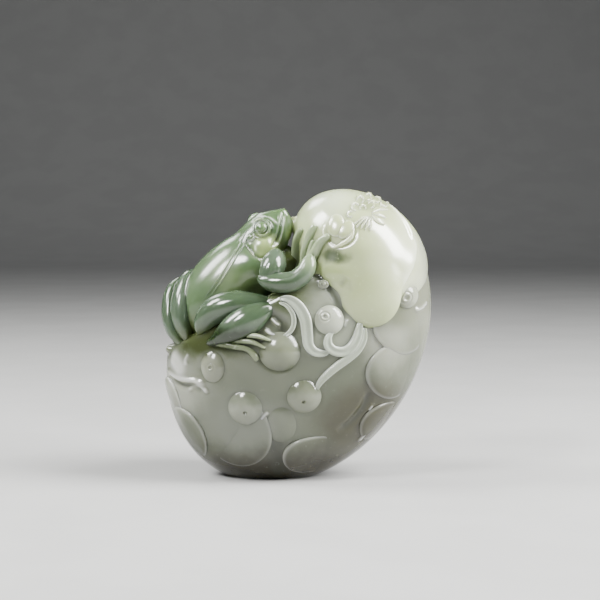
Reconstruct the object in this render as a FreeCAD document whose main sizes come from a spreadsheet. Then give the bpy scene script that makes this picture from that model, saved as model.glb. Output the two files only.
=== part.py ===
"""Palm-sized nephrite carving: a frog climbing from a rounded lotus pod towards a domed lotus leaf.

The stone stands on a small flat ground at its lowest edge. +Z is up, -Y is the carved face, and the
origin is the middle of the foot. Every carved element is a solid of its own, trimmed to the element it
grows out of, so that neighbours meet face to face.
"""

import FreeCAD, Part
import math
import os

V = FreeCAD.Vector
ACROSS = V(0, 1, 0)
FORWARD = FreeCAD.Rotation(V(1, 0, 0), 90)

# Reach of the blocks that clear stone away, and the height where they end: both outside the carving.
CLEAR = 45.0
ROOM_TOP = 70.0

# Driving dimensions, in millimetres and degrees.
SIZES = {
    "pebble_long": 32.8,
    "pebble_short": 25.5,
    "pebble_deep": 16.5,
    "pebble_lean": 32.4,
    "pebble_x": 6.0,
    "pebble_z": 29.0,
    "leaf_relief": 0.9,
    "dome_long": 15.2,
    "dome_short": 13.5,
    "dome_deep": 15.6,
    "dome_lean": -48.0,
    "dome_x": 18.2,
    "dome_y": -1.2,
    "dome_z": 45.5,
    "front_lobe_wide": 6.8,
    "front_lobe_tall": 6.4,
    "left_lobe_wide": 3.6,
    "left_lobe_tall": 3.4,
    "lobe_deep": 3.4,
    "seed_radius": 2.8,
    "seed_flatness": 0.62,
    "pit_radius": 0.35,
    "pit_deep": 0.8,
    "rim_leaf_radius": 8.2,
    "base_leaf_radius": 7.8,
    "side_leaf_radius": 7.0,
    "torso_long": 14.0,
    "torso_tall": 7.8,
    "torso_wide": 8.5,
    "torso_lean": 43.0,
    "torso_x": -8.5,
    "torso_y": -1.5,
    "torso_z": 40.4,
    "chest_radius": 5.0,
    "head_long": 6.0,
    "head_tall": 4.3,
    "head_wide": 6.2,
    "head_lean": 60.0,
    "head_x": -0.8,
    "head_z": 51.2,
    "eye_radius": 1.5,
    "eyelid_radius": 1.8,
    "eyelid_thick": 0.35,
    "eardrum_radius": 0.95,
    "eardrum_tall": 1.2,
    "fold_radius": 0.4,
    "thigh_radius": 2.6,
    "shin_radius": 2.8,
    "toe_radius": 0.75,
    "far_thigh_radius": 2.4,
    "far_shin_radius": 1.5,
    "upper_arm_radius": 2.5,
    "forearm_radius": 2.1,
    "finger_radius": 0.65,
    "thumb_radius": 1.1,
    "tendril_radius": 1.05,
    "sprig_radius": 0.42,
    "bud_long": 1.9,
    "bud_wide": 1.6,
    "bud_deep": 1.1,
}

doc = FreeCAD.newDocument("jade_frog_on_lotus_pod")
sheet = doc.addObject("Spreadsheet::Sheet", "Sizes")
for row, (alias, value) in enumerate(SIZES.items(), start=1):
    sheet.set(f"A{row}", alias)
    sheet.set(f"B{row}", str(value))
    sheet.setAlias(f"B{row}", alias)
doc.recompute()

NODES = []


def size(alias):
    """A driving dimension, as the sheet holds it."""
    return float(sheet.get(alias))


def bind(feature, **cells):
    """Ties each property of a feature to a formula over the sheet."""
    for name, formula in cells.items():
        feature.setExpression(name, formula)
    return feature


def node(feature, label):
    """Marks a feature as a finished sub-part, exported under its label."""
    feature.Label = label
    NODES.append(feature)
    return feature


# ---- Shapes -------------------------------------------------------------------------------------


def ellipsoid(name, tall, wide, deep, centre, lean=0.0):
    """An ellipsoid whose tall axis leans from +Z towards +X by lean degrees."""
    made = doc.addObject("Part::Ellipsoid", name)
    bind(made, Radius1=tall, Radius2=wide, Radius3=deep)
    made.Placement = FreeCAD.Placement(centre, FreeCAD.Rotation(ACROSS, lean))
    return made


def frame_along(tangent, outward):
    """Rotation with its Z along a route and its Y towards the outside of the stone."""
    along = V(tangent).normalize()
    side = outward.cross(along).normalize()
    return FreeCAD.Rotation(side, along.cross(side), along, "ZXY")


def limb(name, radius, stations, outward=V(0, -1, 0), flatness=1.0):
    """A tapered limb or ribbon: ellipses lofted through stations (point, share of radius).

    A share of 0 closes the limb to a point. flatness is the section's height over its width.
    """
    points = [point for point, _ in stations]
    sections = []
    for index, (point, share) in enumerate(stations):
        tangent = points[min(index + 1, len(points) - 1)] - points[max(index - 1, 0)]
        if share == 0:
            section = doc.addObject("Part::Vertex", f"{name}_tip")
            section.Placement.Base = point
        else:
            section = doc.addObject("Part::Ellipse", f"{name}_section")
            bind(section, MajorRadius=f"{radius} * {share}", MinorRadius=f"{radius} * {share * flatness}")
            turned = outward(point) if callable(outward) else outward
            section.Placement = FreeCAD.Placement(point, frame_along(tangent, turned))
        sections.append(section)
    made = doc.addObject("Part::Loft", name)
    made.Sections = sections
    made.Solid = True
    return made


def group(name, features):
    """Separate solids of one kind, kept as one node."""
    made = doc.addObject("Part::Compound", name)
    made.Links = features
    return made


def fuse(name, features):
    """Several overlapping shapes as one solid."""
    made = doc.addObject("Part::MultiFuse", name)
    made.Shapes = features
    return made


def trim(base, *hosts):
    """What is left of a shape once the elements it grows out of are taken away."""
    for host in hosts:
        made = doc.addObject("Part::Cut", f"{base.Name}_trimmed")
        made.Base = base
        made.Tool = host
        made.Refine = False
        base = made
    return base


# ---- Places on the stone ------------------------------------------------------------------------


def ellipsoid_skin(x, z, centre, radii, lean):
    """Depth y of an ellipsoid's front at x and z, or of its edge where x and z lie outside it."""
    turn = math.radians(lean)
    dx, dz = x - centre.x, z - centre.z
    along = dx * math.sin(turn) + dz * math.cos(turn)
    beside = dx * math.cos(turn) - dz * math.sin(turn)
    tall, wide, deep = radii
    return centre.y - deep * math.sqrt(max(0.0, 1 - (along / tall) ** 2 - (beside / wide) ** 2))


PEBBLE = V(size("pebble_x"), 0, size("pebble_z"))
DOME = V(size("dome_x"), size("dome_y"), size("dome_z"))
TORSO = V(size("torso_x"), size("torso_y"), size("torso_z"))
HEAD = V(size("head_x"), size("torso_y"), size("head_z"))


def on_pebble(x, z, lift=0.0):
    """Point on the pebble's carved face, lifted off it outwards."""
    radii = size("pebble_long"), size("pebble_short"), size("pebble_deep")
    return V(x, ellipsoid_skin(x, z, PEBBLE, radii, size("pebble_lean")) - lift, z)


def on_dome(x, z, lift=0.0):
    """Point on the leaf dome's front, lifted off it."""
    radii = size("dome_long"), size("dome_short"), size("dome_deep")
    return V(x, ellipsoid_skin(x, z, DOME, radii, size("dome_lean")) - lift, z)


def on_torso(x, z, lift=0.0):
    """Point on the near flank of the frog's torso, lifted off it."""
    radii = size("torso_long"), size("torso_tall"), size("torso_wide")
    return V(x, ellipsoid_skin(x, z, TORSO, radii, size("torso_lean")) - lift, z)


def off_centre(centre):
    """Outward direction at a point of a rounded mass."""
    return lambda point: V(point.x - centre.x, (point.y - centre.y) * 3, point.z - centre.z).normalize()


# ---- The stone: pod and leaf dome ---------------------------------------------------------------

pebble = ellipsoid(
    "pebble", "Sizes.pebble_long", "Sizes.pebble_short", "Sizes.pebble_deep", PEBBLE, size("pebble_lean")
)
raised = ellipsoid(
    "raised_skin",
    "Sizes.pebble_long + Sizes.leaf_relief",
    "Sizes.pebble_short + Sizes.leaf_relief",
    "Sizes.pebble_deep + Sizes.leaf_relief",
    PEBBLE,
    size("pebble_lean"),
)

below_foot = doc.addObject("Part::Box", "below_foot")
below_foot.Length = below_foot.Width = 2 * CLEAR
below_foot.Height = CLEAR
below_foot.Placement.Base = V(-CLEAR, -CLEAR, -CLEAR)

# The ledge the frog sits on rises towards the dome; the stone above it and left of the dome is cleared.
room_outline = doc.addObject("Sketcher::SketchObject", "frog_room_outline")
room_outline.Placement = FreeCAD.Placement(V(0, CLEAR, 0), FORWARD)
ledge = [V(-CLEAR, 11.8), V(-14, 31), V(0, 38.5), V(9, 42.5), V(21.5, 45), V(24, 48), V(CLEAR, 48)]
corners = ledge + [V(CLEAR, ROOM_TOP), V(-CLEAR, ROOM_TOP)]
for start, end in zip(corners, corners[1:] + corners[:1]):
    room_outline.addGeometry(Part.LineSegment(start, end), False)
room = doc.addObject("Part::Extrusion", "frog_room")
room.Base = room_outline
room.DirMode = "Normal"
room.LengthFwd = 2 * CLEAR
room.Solid = True

dome_ball = ellipsoid(
    "dome_ball", "Sizes.dome_long", "Sizes.dome_short", "Sizes.dome_deep", DOME, size("dome_lean")
)
front_lobe = ellipsoid(
    "dome_front_lobe",
    "Sizes.front_lobe_tall",
    "Sizes.front_lobe_wide",
    "Sizes.lobe_deep",
    V(20.4, -13.3, 39.0),
)
left_lobe = ellipsoid(
    "dome_left_lobe",
    "Sizes.left_lobe_tall",
    "Sizes.left_lobe_wide",
    "Sizes.lobe_deep",
    V(13.6, -12.4, 43.4),
)
leaf_dome = node(fuse("leaf_dome", [dome_ball, front_lobe, left_lobe]), "leaf_dome")
pod_body = node(trim(pebble, room, leaf_dome, below_foot), "pod_body")

# ---- Leaf lobes in low relief -------------------------------------------------------------------


def leaf_lobe(label, radius, centre, hosts=()):
    """A round leaf lobe: the part of the raised skin inside a ball whose centre lies near the rim."""
    ball = doc.addObject("Part::Sphere", f"{label}_ball")
    bind(ball, Radius=radius)
    ball.Placement.Base = centre
    patch = doc.addObject("Part::Common", f"{label}_patch")
    patch.Base = raised
    patch.Tool = ball
    return node(trim(patch, pebble, *hosts), label)


rim_leaf_lower = leaf_lobe("rim_leaf_lower", "Sizes.rim_leaf_radius", V(27.0, -4.0, 23.2))
rim_leaf_upper = leaf_lobe(
    "rim_leaf_upper", "Sizes.rim_leaf_radius", V(28.8, -3.5, 34.0), [rim_leaf_lower, leaf_dome]
)
rim_leaf_corner = leaf_lobe(
    "rim_leaf_corner", "Sizes.rim_leaf_radius * 0.75", V(22.3, -3.0, 13.4), [rim_leaf_lower]
)
base_leaf_front = leaf_lobe("base_leaf_front", "Sizes.base_leaf_radius", V(-7.0, -7.0, 7.6), [below_foot])
base_leaf_right = leaf_lobe(
    "base_leaf_right", "Sizes.base_leaf_radius", V(10.4, -3.0, 2.0), [base_leaf_front, below_foot]
)
side_leaf = leaf_lobe(
    "side_leaf", "Sizes.side_leaf_radius", V(-19.4, -1.5, 8.0), [base_leaf_front, below_foot]
)
side_tongue = leaf_lobe("side_tongue", "Sizes.side_leaf_radius * 0.9", V(-20.6, -1.0, 17.0), [side_leaf])

# ---- Seeds, each with a drilled pit -------------------------------------------------------------


def seed(label, x, z, share, hosts=(), pit_x=0.0, pit_z=0.0):
    """A round seed half sunk in the pod, with a small blind pit drilled in its crown."""
    centre = on_pebble(x, z)
    radius = f"Sizes.seed_radius * {share}"
    ball = ellipsoid(f"{label}_ball", radius, radius, f"{radius} * Sizes.seed_flatness", centre)
    pit = doc.addObject("Part::Cylinder", f"{label}_pit")
    bind(pit, Radius="Sizes.pit_radius")
    crown = size("seed_radius") * share * size("seed_flatness")
    pit.Height = 2 * crown
    pit.Placement = FreeCAD.Placement(
        centre + V(pit_x, size("pit_deep") - crown, pit_z), FORWARD
    )
    return node(trim(ball, pebble, *hosts, pit), label)


seed_middle = seed("seed_middle", 12.3, 33.2, 0.95, [leaf_dome], pit_x=-0.6)
seed_lower_left = seed("seed_lower_left", -5.3, 14.0, 1.0, [base_leaf_front])
seed_lower_right = seed("seed_lower_right", 7.5, 16.2, 1.15)
seed_left = seed("seed_left", -12.0, 22.9, 0.9)
seed_rim = seed("seed_rim", 28.8, 37.6, 0.85, [rim_leaf_upper, leaf_dome], pit_x=-0.9)
seed_under_toes = seed("seed_under_toes", 2.5, 26.0, 1.1)
seed_base = seed("seed_base", 1.8, 9.4, 1.0, [base_leaf_front, base_leaf_right])
seed_small = seed("seed_small", 11.2, 39.4, 0.36, [leaf_dome])

# ---- Tendrils lying on the pod ------------------------------------------------------------------


def tendril(label, share, route, hosts=()):
    """A ribbon on the pod's face that follows a route of (x, z, share of its width)."""
    lift = size("tendril_radius") * 0.1
    stations = [(on_pebble(x, z, lift), width * share) for x, z, width in route]
    made = limb(f"{label}_ribbon", "Sizes.tendril_radius", stations, off_centre(PEBBLE), 0.7)
    return node(trim(made, pebble, *hosts), label)


tendril_hook = tendril(
    "tendril_hook",
    1.0,
    [
        (13.6, 30.6, 0),
        (12.6, 29.2, 0.7),
        (12.3, 27.6, 1.0),
        (13.4, 26.2, 1.1),
        (15.2, 26.1, 1.15),
        (17.0, 27.3, 1.1),
        (18.5, 29.4, 1.0),
        (19.1, 31.8, 0.8),
    ],
    [leaf_dome, seed_middle],
)
tendril_long = tendril(
    "tendril_long",
    1.0,
    [
        (2.6, 37.2, 0.6),
        (5.4, 36.6, 1.0),
        (7.4, 34.5, 1.0),
        (7.9, 31.5, 1.0),
        (7.9, 28.6, 1.0),
        (9.0, 26.4, 0.95),
        (10.8, 25.7, 0.8),
        (12.2, 26.0, 0),
    ],
    [tendril_hook],
)
tendril_stem = tendril(
    "tendril_stem",
    0.8,
    [
        (19.9, 30.4, 0.9),
        (19.5, 27.6, 1.0),
        (17.6, 25.2, 1.1),
        (14.6, 23.2, 1.1),
        (12.3, 21.5, 1.0),
        (10.8, 19.6, 0.9),
        (9.9, 18.0, 0.8),
    ],
    [tendril_hook, seed_lower_right],
)
tendril_ring = tendril(
    "tendril_ring",
    0.5,
    [(2.4, 36.0, 0), (4.2, 34.6, 1.0), (4.9, 32.4, 1.0), (4.1, 30.4, 1.0), (2.4, 29.2, 0.9), (0.8, 28.6, 0)],
    [tendril_long, seed_under_toes],
)

# ---- The sprig carved on the dome ---------------------------------------------------------------

BUD = ("Sizes.bud_long", "Sizes.bud_wide", "Sizes.bud_deep")
bud = ellipsoid("sprig_bud_ball", *BUD, on_dome(13.4, 52.6), -15)
sprig_bud = node(trim(bud, leaf_dome), "sprig_bud")
curl = ellipsoid("sprig_curl_ball", *BUD, on_dome(16.3, 51.9), 25)
sprig_curl = node(trim(curl, leaf_dome, sprig_bud), "sprig_curl")


def sprig_petal(name, start, middle, tip):
    """One slender petal or stem on the dome, from its root to its point."""
    stations = [
        (on_dome(*start, 0.1), 0.7),
        (on_dome(*middle, 0.15), 1.0),
        (on_dome(*tip, 0.1), 0),
    ]
    return trim(limb(name, "Sizes.sprig_radius", stations, off_centre(DOME)), leaf_dome)


sprig_stem = node(sprig_petal("sprig_stem_arc", (17.4, 50.4), (15.9, 48.9), (13.0, 47.4)), "sprig_stem")
petal_tips = [
    (17.7, 54.0),
    (18.3, 51.9),
    (19.7, 50.9),
    (21.3, 50.7),
    (23.0, 51.4),
    (24.2, 52.8),
    (19.7, 55.4),
    (22.6, 55.6),
]
heart = (20.9, 53.2)
petals = [
    sprig_petal(
        f"petal_{index}",
        tuple(h + 0.2 * (t - h) for h, t in zip(heart, tip)),
        tuple(h + 0.6 * (t - h) for h, t in zip(heart, tip)),
        tip,
    )
    for index, tip in enumerate(petal_tips)
]
sprig_blossom = node(group("sprig_blossom", petals), "sprig_blossom")

# ---- The frog -----------------------------------------------------------------------------------

torso_ball = ellipsoid(
    "torso_ball", "Sizes.torso_long", "Sizes.torso_tall", "Sizes.torso_wide", TORSO, size("torso_lean")
)
chest_ball = ellipsoid(
    "chest_ball",
    "Sizes.chest_radius",
    "Sizes.chest_radius",
    "Sizes.torso_wide * 0.8",
    V(0.4, size("torso_y"), 43.6),
)
torso = node(trim(fuse("torso_mass", [torso_ball, chest_ball]), pod_body, leaf_dome), "frog_torso")
head_ball = ellipsoid(
    "head_ball", "Sizes.head_long", "Sizes.head_tall", "Sizes.head_wide", HEAD, size("head_lean")
)
head = node(trim(head_ball, torso, leaf_dome), "frog_head")


def eye(label, place):
    """One eyeball, sunk in the head."""
    ball = doc.addObject("Part::Sphere", f"{label}_ball")
    bind(ball, Radius="Sizes.eye_radius")
    ball.Placement.Base = place
    return node(trim(ball, head, torso), label)


RIGHT_EYE = V(-1.8, -6.9, 52.2)
eye("frog_right_eye", RIGHT_EYE)
eye("frog_left_eye", V(-3.4, 2.4, 53.6))
eyelid_ring = doc.addObject("Part::Torus", "eyelid_ring")
bind(eyelid_ring, Radius1="Sizes.eyelid_radius", Radius2="Sizes.eyelid_thick")
eyelid_ring.Placement = FreeCAD.Placement(RIGHT_EYE + V(0, -0.3, 0), FORWARD)
node(trim(eyelid_ring, head, NODES[-2]), "frog_right_eyelid")
drum = doc.addObject("Part::Cylinder", "eardrum_disc")
bind(drum, Radius="Sizes.eardrum_radius", Height="Sizes.eardrum_tall")
drum.Placement = FreeCAD.Placement(V(-4.3, -6.6, 50.0), FORWARD)
node(trim(drum, torso, head), "frog_right_eardrum")

FOLD_ROUTE = [(-5.2, 49.3, 0), (-7.4, 45.6, 1.0), (-9.8, 42.2, 1.0), (-12.2, 38.9, 1.0), (-13.8, 35.6, 0)]
folds = [
    trim(
        limb(
            f"fold_{index}",
            "Sizes.fold_radius",
            [(on_torso(x + shift, z), share) for x, z, share in FOLD_ROUTE],
            off_centre(TORSO),
        ),
        torso_ball,
    )
    for index, shift in enumerate((-0.6, 0.6))
]
node(group("frog_right_folds", folds), "frog_right_folds")

right_thigh = limb(
    "right_thigh_muscle",
    "Sizes.thigh_radius",
    [
        (V(-15.6, -7.8, 28.8), 0),
        (V(-14.4, -9.2, 30.6), 0.75),
        (V(-12.2, -11.0, 33.4), 1.0),
        (V(-8.8, -12.0, 35.8), 0.95),
        (V(-4.5, -12.6, 36.7), 0.8),
        (V(-0.8, -12.8, 36.6), 0.55),
        (V(1.2, -12.8, 36.4), 0),
    ],
)
right_thigh = node(trim(right_thigh, torso, pod_body), "frog_right_thigh")
right_shin = limb(
    "right_shin_muscle",
    "Sizes.shin_radius",
    [
        (V(1.7, -13.8, 36.2), 0),
        (V(0.2, -14.2, 35.2), 0.6),
        (V(-3.4, -14.6, 33.2), 0.96),
        (V(-7.4, -14.2, 31.0), 0.93),
        (V(-10.8, -13.4, 29.0), 0.62),
        (V(-13.2, -12.2, 27.1), 0),
    ],
)
right_shin = node(trim(right_shin, right_thigh, torso, pod_body), "frog_right_shin")

TOE_ROUTES = [
    [(-9.4, 29.0, 0), (-6.6, 29.2, 0.7), (-3.0, 29.2, 0.8), (0.4, 28.6, 0)],
    [(-11.4, 27.8, 0), (-7.4, 27.9, 0.9), (-3.6, 27.6, 1.0), (-0.4, 26.6, 0)],
    [(-12.0, 26.9, 0), (-8.6, 26.6, 0.8), (-5.2, 25.9, 0.8), (-3.4, 24.8, 1.2), (-2.4, 23.4, 0)],
]
toes = [
    trim(
        limb(
            f"right_toe_{index}",
            "Sizes.toe_radius",
            [(on_pebble(x, z, 0.2), share) for x, z, share in route],
            off_centre(PEBBLE),
        ),
        pod_body,
        right_shin,
        right_thigh,
        seed_under_toes,
    )
    for index, route in enumerate(TOE_ROUTES)
]
node(group("frog_right_toes", toes), "frog_right_toes")

left_thigh = limb(
    "left_thigh_muscle",
    "Sizes.far_thigh_radius",
    [
        (V(-15.6, 2.6, 43.6), 0),
        (V(-17.2, 2.8, 41.0), 0.8),
        (V(-18.3, 2.6, 37.0), 1.0),
        (V(-18.6, 2.0, 32.6), 1.0),
        (V(-18.2, 1.2, 29.0), 0.75),
        (V(-17.4, 0.6, 26.2), 0),
    ],
)
left_thigh = node(trim(left_thigh, torso, pod_body), "frog_left_thigh")
left_shin = limb(
    "left_shin_muscle",
    "Sizes.far_shin_radius",
    [
        (V(-19.2, 3.6, 40.2), 0),
        (V(-20.4, 3.6, 38.0), 0.75),
        (V(-21.1, 3.4, 34.4), 1.0),
        (V(-20.8, 3.0, 31.0), 1.0),
        (V(-19.4, 2.4, 28.2), 0.8),
        (V(-17.8, 2.0, 26.4), 0),
    ],
)
left_shin = node(trim(left_shin, left_thigh, torso, pod_body), "frog_left_shin")

right_upper_arm = limb(
    "right_upper_arm_muscle",
    "Sizes.upper_arm_radius",
    [
        (V(1.9, -6.2, 47.4), 0),
        (V(1.4, -7.8, 46.2), 0.75),
        (V(0.7, -9.6, 44.2), 1.0),
        (V(-0.2, -11.0, 42.0), 1.0),
        (V(-1.1, -11.8, 40.2), 0),
    ],
)
right_upper_arm = node(trim(right_upper_arm, torso, head), "frog_right_upper_arm")
right_forearm = limb(
    "right_forearm_muscle",
    "Sizes.forearm_radius",
    [
        (V(-3.2, -12.2, 42.2), 0),
        (V(-1.7, -13.0, 41.2), 0.75),
        (V(1.2, -14.0, 39.9), 1.0),
        (V(4.6, -14.3, 40.2), 0.95),
        (V(7.4, -13.8, 42.3), 0.85),
        (V(8.8, -13.3, 44.6), 0.8),
        (V(9.4, -12.9, 46.4), 0),
    ],
)
right_forearm = node(
    trim(right_forearm, right_upper_arm, torso, leaf_dome, pod_body, right_thigh), "frog_right_forearm"
)

FINGER_ROUTES = [
    ("finger", [(7.2, 43.9, 0), (6.6, 46.2, 1.0), (6.3, 48.6, 0.9), (6.8, 50.9, 0.8), (7.3, 52.0, 0)]),
    ("finger", [(8.2, 44.4, 0), (8.1, 46.8, 1.0), (8.5, 49.4, 1.0), (9.4, 51.4, 0.9), (10.3, 52.4, 0)]),
    ("finger", [(9.0, 45.0, 0), (9.1, 46.6, 1.0), (9.5, 48.0, 0.9), (9.9, 49.2, 0)]),
    ("thumb", [(8.8, 43.6, 0), (9.8, 46.0, 1.0), (10.9, 48.4, 0.95), (12.2, 49.7, 0.7), (13.0, 50.2, 0)]),
]
fingers = [
    trim(
        limb(
            f"right_finger_{index}",
            f"Sizes.{kind}_radius",
            [(on_dome(x, z, 0.15), share) for x, z, share in route],
            off_centre(DOME),
        ),
        leaf_dome,
        right_forearm,
    )
    for index, (kind, route) in enumerate(FINGER_ROUTES)
]
node(group("frog_right_fingers", fingers), "frog_right_fingers")

left_arm = limb(
    "left_arm_muscle",
    "Sizes.forearm_radius",
    [
        (V(-1.6, 3.4, 46.4), 0),
        (V(-0.4, 5.2, 44.8), 0.9),
        (V(1.6, 6.8, 42.4), 1.0),
        (V(4.6, 7.4, 42.0), 0.9),
        (V(7.0, 7.2, 44.0), 0.75),
        (V(8.2, 6.8, 46.2), 0),
    ],
    V(0, 1, 0),
)
node(trim(left_arm, torso, head, leaf_dome, pod_body), "frog_left_arm")

# ---- Recompute, test and export -----------------------------------------------------------------

doc.recompute()
failed = [o.Label for o in doc.Objects if {"Invalid", "Error"} & set(o.State)]
if failed:
    raise RuntimeError(f"these features failed: {failed}")
for feature in NODES:
    shape = feature.Shape
    if shape.isNull() or not shape.isValid() or not shape.Solids:
        raise RuntimeError(f"{feature.Label} has no valid solid")

os.makedirs("parts", exist_ok=True)
for feature in NODES:
    feature.Shape.exportStep(f"parts/{feature.Label}.step")
    print(f"{feature.Label}: {len(feature.Shape.Solids)} solid(s), {feature.Shape.Volume:.1f} mm3")
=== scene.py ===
"""A palm-sized nephrite carving: a frog climbs from a lotus pod towards a domed lotus leaf.

Every carved element is a piece of its own. Forms are worked out in millimetres and written in metres.
"""

import logging
import math
from dataclasses import dataclass, replace
from enum import Enum

import bmesh
import bpy
import numpy as np
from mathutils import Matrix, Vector


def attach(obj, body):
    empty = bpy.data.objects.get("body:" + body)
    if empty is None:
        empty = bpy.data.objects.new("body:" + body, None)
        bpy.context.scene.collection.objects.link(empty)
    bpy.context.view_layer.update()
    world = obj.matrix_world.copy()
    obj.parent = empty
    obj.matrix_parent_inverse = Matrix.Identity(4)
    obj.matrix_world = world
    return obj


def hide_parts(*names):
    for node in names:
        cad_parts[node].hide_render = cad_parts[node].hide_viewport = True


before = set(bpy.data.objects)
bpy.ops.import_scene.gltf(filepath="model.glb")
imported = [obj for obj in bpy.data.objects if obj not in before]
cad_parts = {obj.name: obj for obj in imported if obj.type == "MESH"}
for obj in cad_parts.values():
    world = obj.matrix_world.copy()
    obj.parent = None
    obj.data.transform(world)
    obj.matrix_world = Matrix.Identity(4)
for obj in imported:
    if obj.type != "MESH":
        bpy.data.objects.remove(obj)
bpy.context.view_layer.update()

LOG = logging.getLogger("carving")
MM = 0.001
Array = np.ndarray

# How a form is searched for its skin, in mm and in halvings of the gap
FARTHEST = 60.0
CAST_HALVINGS = 26
SIGHT_BEFORE = 30
SIGHT_BEYOND = 25
SIGHT_STEPS = 140
SIGHT_HALVINGS = 16
FEELER = 0.08
# Smallest length that is divided by
SPECK = 1e-9


# ---- Sight lines: a drawing in front of the stone, carried back onto it ---------------------------


@dataclass(frozen=True)
class Easel:
    """The drawing plane that marks are laid out on, and the eye that looks through it.

    Args:
        centre: What the eye looks at, in mm.
        reach: Distance from the eye to the centre, in mm.
        elevation: Height of the eye above the horizon, in degrees.
        width: Width of the drawing, in mm.
    """

    centre: tuple[float, float, float] = (6.3, 0.0, 37.0)
    reach: float = 350.0
    elevation: float = 4.0
    width: float = 126.0

    @property
    def eye(self) -> Array:
        """Where the eye is, in mm."""
        e = math.radians(self.elevation)
        return np.array(self.centre) + self.reach * np.array([0.0, -math.cos(e), math.sin(e)])

    def lines(self, drawn: Array) -> Array:
        """Unit directions from the eye through points of the drawing.

        Args:
            drawn: Points (x, z) on the drawing, in mm.

        Returns:
            One direction for each point.
        """
        e = math.radians(self.elevation)
        across = drawn[:, :1] - self.centre[0]
        above = drawn[:, 1:2] - self.centre[2]
        up = np.array([[0.0, math.sin(e), math.cos(e)]])
        through = np.array(self.centre) + across * np.array([[1.0, 0.0, 0.0]]) + above * up - self.eye
        return through / np.linalg.norm(through, axis=1, keepdims=True)

    def at_depth(self, drawn: Array, y: Array) -> Array:
        """Points of the drawing carried back to the depths y."""
        d = self.lines(drawn)
        return self.eye + d * ((y - self.eye[1]) / d[:, 1])[:, None]


EASEL = Easel()


# ---- Forms: signed distances that meshes are drawn onto -------------------------------------------


def soft_min(a: Array, b: Array, blend: float) -> Array:
    """The smaller of two distances, rounded over where they cross.

    Args:
        a: Distances, in mm.
        b: Distances, in mm.
        blend: Width of the rounding, in mm.

    Returns:
        The blended distances, in mm.
    """
    if blend <= 0:
        return np.minimum(a, b)
    h = np.clip(0.5 + 0.5 * (b - a) / blend, 0.0, 1.0)
    return b * (1 - h) + a * h - blend * h * (1 - h)


def soft_max(a: Array, b: Array, blend: float) -> Array:
    """The larger of two distances, rounded over where they cross."""
    return -soft_min(-a, -b, blend)


@dataclass(frozen=True)
class Ball:
    """An ellipsoid whose long axis leans from +Z towards +X.

    Args:
        centre: Middle, in mm.
        radii: Long, short and front-to-back radius, in mm.
        lean: Lean of the long axis, in degrees.
    """

    centre: tuple[float, float, float]
    radii: tuple[float, float, float]
    lean: float = 0.0

    def depth(self, p: Array) -> Array:
        """Signed distance of points from the skin, negative inside.

        Args:
            p: Points, one row each, in mm.

        Returns:
            One distance for each point, in mm.
        """
        turn = math.radians(self.lean)
        q = p - np.array(self.centre)
        along = q[:, 0] * math.sin(turn) + q[:, 2] * math.cos(turn)
        beside = q[:, 0] * math.cos(turn) - q[:, 2] * math.sin(turn)
        local = np.stack([along, beside, q[:, 1]], axis=1) / np.array(self.radii)
        k0 = np.linalg.norm(local, axis=1)
        k1 = np.linalg.norm(local / np.array(self.radii), axis=1)
        return k0 * (k0 - 1.0) / np.maximum(k1, SPECK)


@dataclass(frozen=True)
class Slab:
    """A half-space: everything behind a plane.

    Args:
        point: A point on the plane, in mm.
        normal: Outward direction.
    """

    point: tuple[float, float, float]
    normal: tuple[float, float, float]

    def depth(self, p: Array) -> Array:
        """Signed distance of points from the plane, negative inside."""
        n = np.array(self.normal)
        return (p - np.array(self.point)) @ (n / np.linalg.norm(n))


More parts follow.
